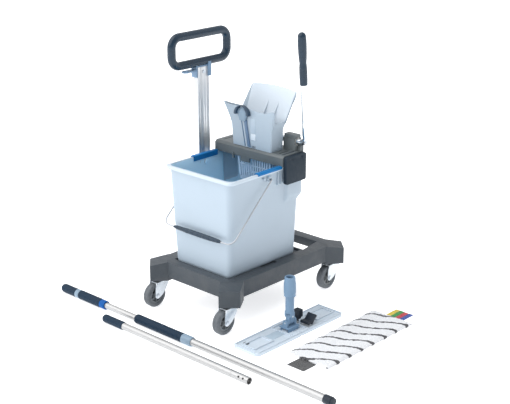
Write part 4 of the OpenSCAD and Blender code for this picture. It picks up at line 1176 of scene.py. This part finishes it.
def build_pad():
    low, high = local("mop_pad", PAD)
    verts, faces = pad_block(low, high, 1.6, 5.6)
    obj = piece("pile_pad", Shape().add(verts, faces), PAD, PILE, "pad", ["mop_pad"])
    obj.modifiers.clear()
    inflate(obj, 2.2 * MM)
    rounds = obj.modifiers.new("rounds", "SUBSURF")
    rounds.levels = rounds.render_levels = 2
    evaluated = obj.evaluated_get(bpy.context.evaluated_depsgraph_get())
    fine = bpy.data.meshes.new_from_object(evaluated)
    obj.modifiers.clear()
    fine.name = "pile_pad"
    obj.data = fine
    stripe = fine.attributes.new("stripe", "FLOAT", "POINT")
    normals = [v.normal.copy() for v in fine.vertices]
    floor_low, floor_high = 0.8, 4.0
    for index, vert in enumerate(fine.vertices):
        x, y, z = (vert.co - PAD) / MM
        dark = stripe_at(x, y)
        stripe.data[index].value = dark
        upper = smooth((z - floor_low) / (floor_high - floor_low))
        tufts = noise.noise(Vector((x * 0.16, y * 0.16, z * 0.1)))
        rows = math.sin((y - 0.52 * x) * TAU / 6.2 + 2 * noise.noise(Vector((x * 0.05, y * 0.05, 0))))
        fuzz = noise.noise(Vector((x * 0.7, y * 0.7, z * 0.7 + 7)))
        push = upper * (1.3 * tufts + 0.55 * rows + 0.8 * fuzz + 0.5 * dark)
        near = min(high.x - abs(x), high.y - abs(y))
        ragged = 2.2 * noise.noise(Vector((x * 0.11, y * 0.11, 3.3))) * (1 - smooth(near / 9))
        shifted = vert.co + normals[index] * (push + upper * ragged) * MM
        shifted.z = max(shifted.z, 0.4 * MM)
        vert.co = shifted
    fine.materials.clear()
    fine.materials.append(PILE)
    for face in fine.polygons:
        face.use_smooth = True
    return obj


def tab_sheet(name, look, x0, x1, y0, y1, body_y, seed):
    """Flat woven tab, a little wavy towards its free end."""
    nx, ny = 22, 20
    verts, faces = [], []
    for j in range(ny + 1):
        for i in range(nx + 1):
            x, y = lerp(x0, x1, i / nx), lerp(y0, y1, j / ny)
            free = smooth(abs(y - body_y) / 40)
            lift = 1.1 + 0.9 * free * (0.5 + noise.noise(Vector((x * 0.04, y * 0.05, seed))))
            verts.append(Vector((x, y, max(0.9, lift))))
    for j in range(ny):
        for i in range(nx):
            a = j * (nx + 1) + i
            faces.append((a, a + 1, a + nx + 2, a + nx + 1))
    obj = piece(name, Shape().add(verts, faces), PAD, look, "pad", ["pad_tabs"], levels=1)
    thick = obj.modifiers.new("cloth", "SOLIDIFY")
    thick.thickness = 1.0 * MM
    thick.offset = 0
    return obj


def build_tabs():
    low, high = local("pad_tabs", PAD)
    pad_low, pad_high = local("mop_pad", PAD)
    tuck = 6
    webbing = woven("grey_webbing", [(0.085, 0.088, 0.09)])
    grey = tab_sheet("grey_tab", webbing, -33, 30, low.y, pad_low.y + tuck, pad_low.y, 2.0)
    x0, x1 = -31, 35
    colours = [(0.83, 0.62, 0.05), (0.03, 0.33, 0.06), (0.62, 0.03, 0.05), (0.02, 0.09, 0.42)]
    cuts = [PAD.x + lerp(x0, x1, i / 4) * MM for i in (1, 2, 3)]
    webbing = woven("colour_webbing", colours, cuts, 500.0)
    tag = tab_sheet("colour_tab", webbing, x0, x1, pad_high.y - tuck, high.y, pad_high.y, 5.0)


# ---- Poles ----

def ribbed(profile, pitch, depth, first, last):
    """Profile cut fine with shallow rings between two places."""
    fine = cut_fine(profile, lambda a, b: abs(b[0] - a[0]) / (pitch / 4))
    return [(t, r - (depth * (0.5 + 0.5 * math.cos(TAU * t / pitch)) if first < t < last else 0))
            for t, r in fine]


def flat_sides(t, a):
    return -0.6 * max(0.0, math.cos(a * 6)) ** 6


def build_pole_grips():
    knob = [(-463, 1.0), (-462.6, 5), (-461, 9), (-457.5, 12.2), (-452, 14.1), (-446, 14.6), (-396, 14.6),
            (-390, 14.2), (-388.2, 13.4), (-388, 12)]
    sleeve = [(-371, 12), (-370.6, 13.8), (-369, 14.7), (-365, 15), (-275, 15), (-269, 14.6), (-266.4, 13.8),
              (-266, 12)]
    top = Shape().lathe(ribbed(knob, 6.0, 0.7, -446, -400), "x", steps=64, wave=flat_sides)
    top.lathe([(-388.5, 12), (-370.5, 12), (-370.5, 10.5), (-388.5, 10.5)], "x", steps=48, closed=True)
    top.lathe(ribbed(sleeve, 6.0, 0.9, -362, -278), "x", steps=64, wave=flat_sides)
    piece("pole_knob", top, LONG, GRIP, "inner_pole", ["top_grip"])

    middle_grip = [(-98, 11.8), (-97.6, 13.4), (-96, 14.4), (-92, 15), (100, 15), (106, 14.8), (109.4, 14.0),
                   (110, 11.8)]
    grip = Shape().lathe(ribbed(middle_grip, 6.0, 0.9, -88, 96), "x", steps=64, wave=flat_sides)
    piece("pole_sleeve_grip", grip, LONG, GRIP, "long_pole", ["middle_grip"])

    short = [(-182, 1.0), (-181.4, 5.5), (-180, 9.2), (-177, 11.7), (-173, 12.7), (-168, 13), (-98, 13),
             (-92, 12.6), (-88.4, 12), (-88, 11.1)]
    end = Shape().lathe(ribbed(short, 6.0, 0.8, -164, -100), "x", steps=64, wave=flat_sides)
    piece("short_pole_grip", end, SHORT, GRIP, "short_pole", ["short_grip"])


def dress_poles():
    for node in ("outer_tube", "inner_tube", "short_tube"):
        dressed(node, POLE)
    dressed("top_band", BAND, 0.5)
    dressed("top_ring", RING, 0.8)
    dressed("lock_collar", BAND, 0.6)
    dressed("pole_plug", BLACK, 1.2)


def dress_trolley():
    dressed("caster_sleeves", STEEL)
    dressed("handle_post", POST, 0.5)
    dressed("frame_screws", ZINC, 0.4)
    dressed("handle_collar", BLUE, 0.9)
    dressed("hanging_eye", BLUE, 1.0)
    for place in PLACES:
        dressed("fork_" + place, ZINC, 0.9)
        dressed("axle_" + place, ZINC, 0.5)


# ---- Floor, light and camera ----

def build_stage():
    half = 30
    mesh = bpy.data.meshes.new("studio_floor")
    corners = [(-half, -half, 0), (half, -half, 0), (half, half, 0), (-half, half, 0)]
    mesh.from_pydata(corners, [], [(0, 1, 2, 3)])
    floor = bpy.data.objects.new("studio_floor", mesh)
    bpy.context.scene.collection.objects.link(floor)
    look = Look("pale_floor", 0.7)
    look.set("Base Color", look.blend(look.noise(3.0), (0.86, 0.865, 0.87), (0.88, 0.885, 0.89)))
    look.set("Emission Color", (0.97, 0.98, 1.0, 1.0))
    look.set("Emission Strength", 0.65)
    mesh.materials.append(look.material)


def add_sun(name, direction, strength, spread):
    lamp = bpy.data.lights.new(name, "SUN")
    lamp.energy = strength
    lamp.angle = math.radians(spread)
    sun = bpy.data.objects.new(name, lamp)
    sun.rotation_mode = "QUATERNION"
    sun.rotation_quaternion = Vector(direction).to_track_quat("Z", "Y")
    bpy.context.scene.collection.objects.link(sun)


def build_light():
    """Bright backdrop behind the set and overhead, dimmer on the side that the set is seen from."""
    world = bpy.data.worlds.new("studio")
    world.use_nodes = True
    bpy.context.scene.world = world
    tree = world.node_tree
    background = tree.nodes["Background"]
    coords = tree.nodes.new("ShaderNodeTexCoord")
    facing = tree.nodes.new("ShaderNodeVectorMath")
    facing.operation = "DOT_PRODUCT"
    facing.inputs[1].default_value = (0.66, -0.71, -0.25)
    share = tree.nodes.new("ShaderNodeMapRange")
    share.interpolation_type = "SMOOTHSTEP"
    share.inputs["From Min"].default_value = -0.6
    share.inputs["From Max"].default_value = 0.95
    tint = tree.nodes.new("ShaderNodeMix")
    tint.data_type = "RGBA"
    tint.inputs[6].default_value = (1.0, 1.0, 1.0, 1)
    tint.inputs[7].default_value = (0.40, 0.42, 0.45, 1)
    tree.links.new(coords.outputs["Generated"], facing.inputs[0])
    tree.links.new(facing.outputs["Value"], share.inputs["Value"])
    tree.links.new(share.outputs[0], tint.inputs[0])
    tree.links.new(tint.outputs[2], background.inputs["Color"])
    background.inputs["Strength"].default_value = 0.98
    add_sun("key", (-0.38, -0.78, 1.05), 2.3, 80)


def build_camera():
    """The reference view: across the front right corner, from slightly above."""
    azimuth, elevation = math.radians(42.81), math.radians(18.93)
    distance = 3.9221
    aim = CART + Vector((-0.12061, 0.19301, 0.250))
    away = Vector((math.sin(azimuth) * math.cos(elevation), -math.cos(azimuth) * math.cos(elevation),
                   math.sin(elevation)))
    camera = bpy.data.objects.new("camera", bpy.data.cameras.new("camera"))
    camera.data.sensor_width = 36
    camera.data.lens = 81.73
    camera.location = aim + away * distance
    camera.rotation_mode = "QUATERNION"
    camera.rotation_quaternion = away.to_track_quat("Z", "Y")
    bpy.context.scene.collection.objects.link(camera)
    bpy.context.scene.camera = camera


build_stage()
build_light()
build_camera()
bpy.context.scene.view_settings.view_transform = "Standard"

build_chassis()
build_push_handle()
dress_trolley()
for place in PLACES:
    build_wheel(place)
build_bucket()
build_bail()
build_rim_clips()
build_wringer()
build_basket()
build_lever()
build_funnel()
build_funnel_hook()
build_mop_head()
build_sleeve()
build_pad()
build_tabs()
build_pole_grips()
dress_poles()

bpy.context.view_layer.update()
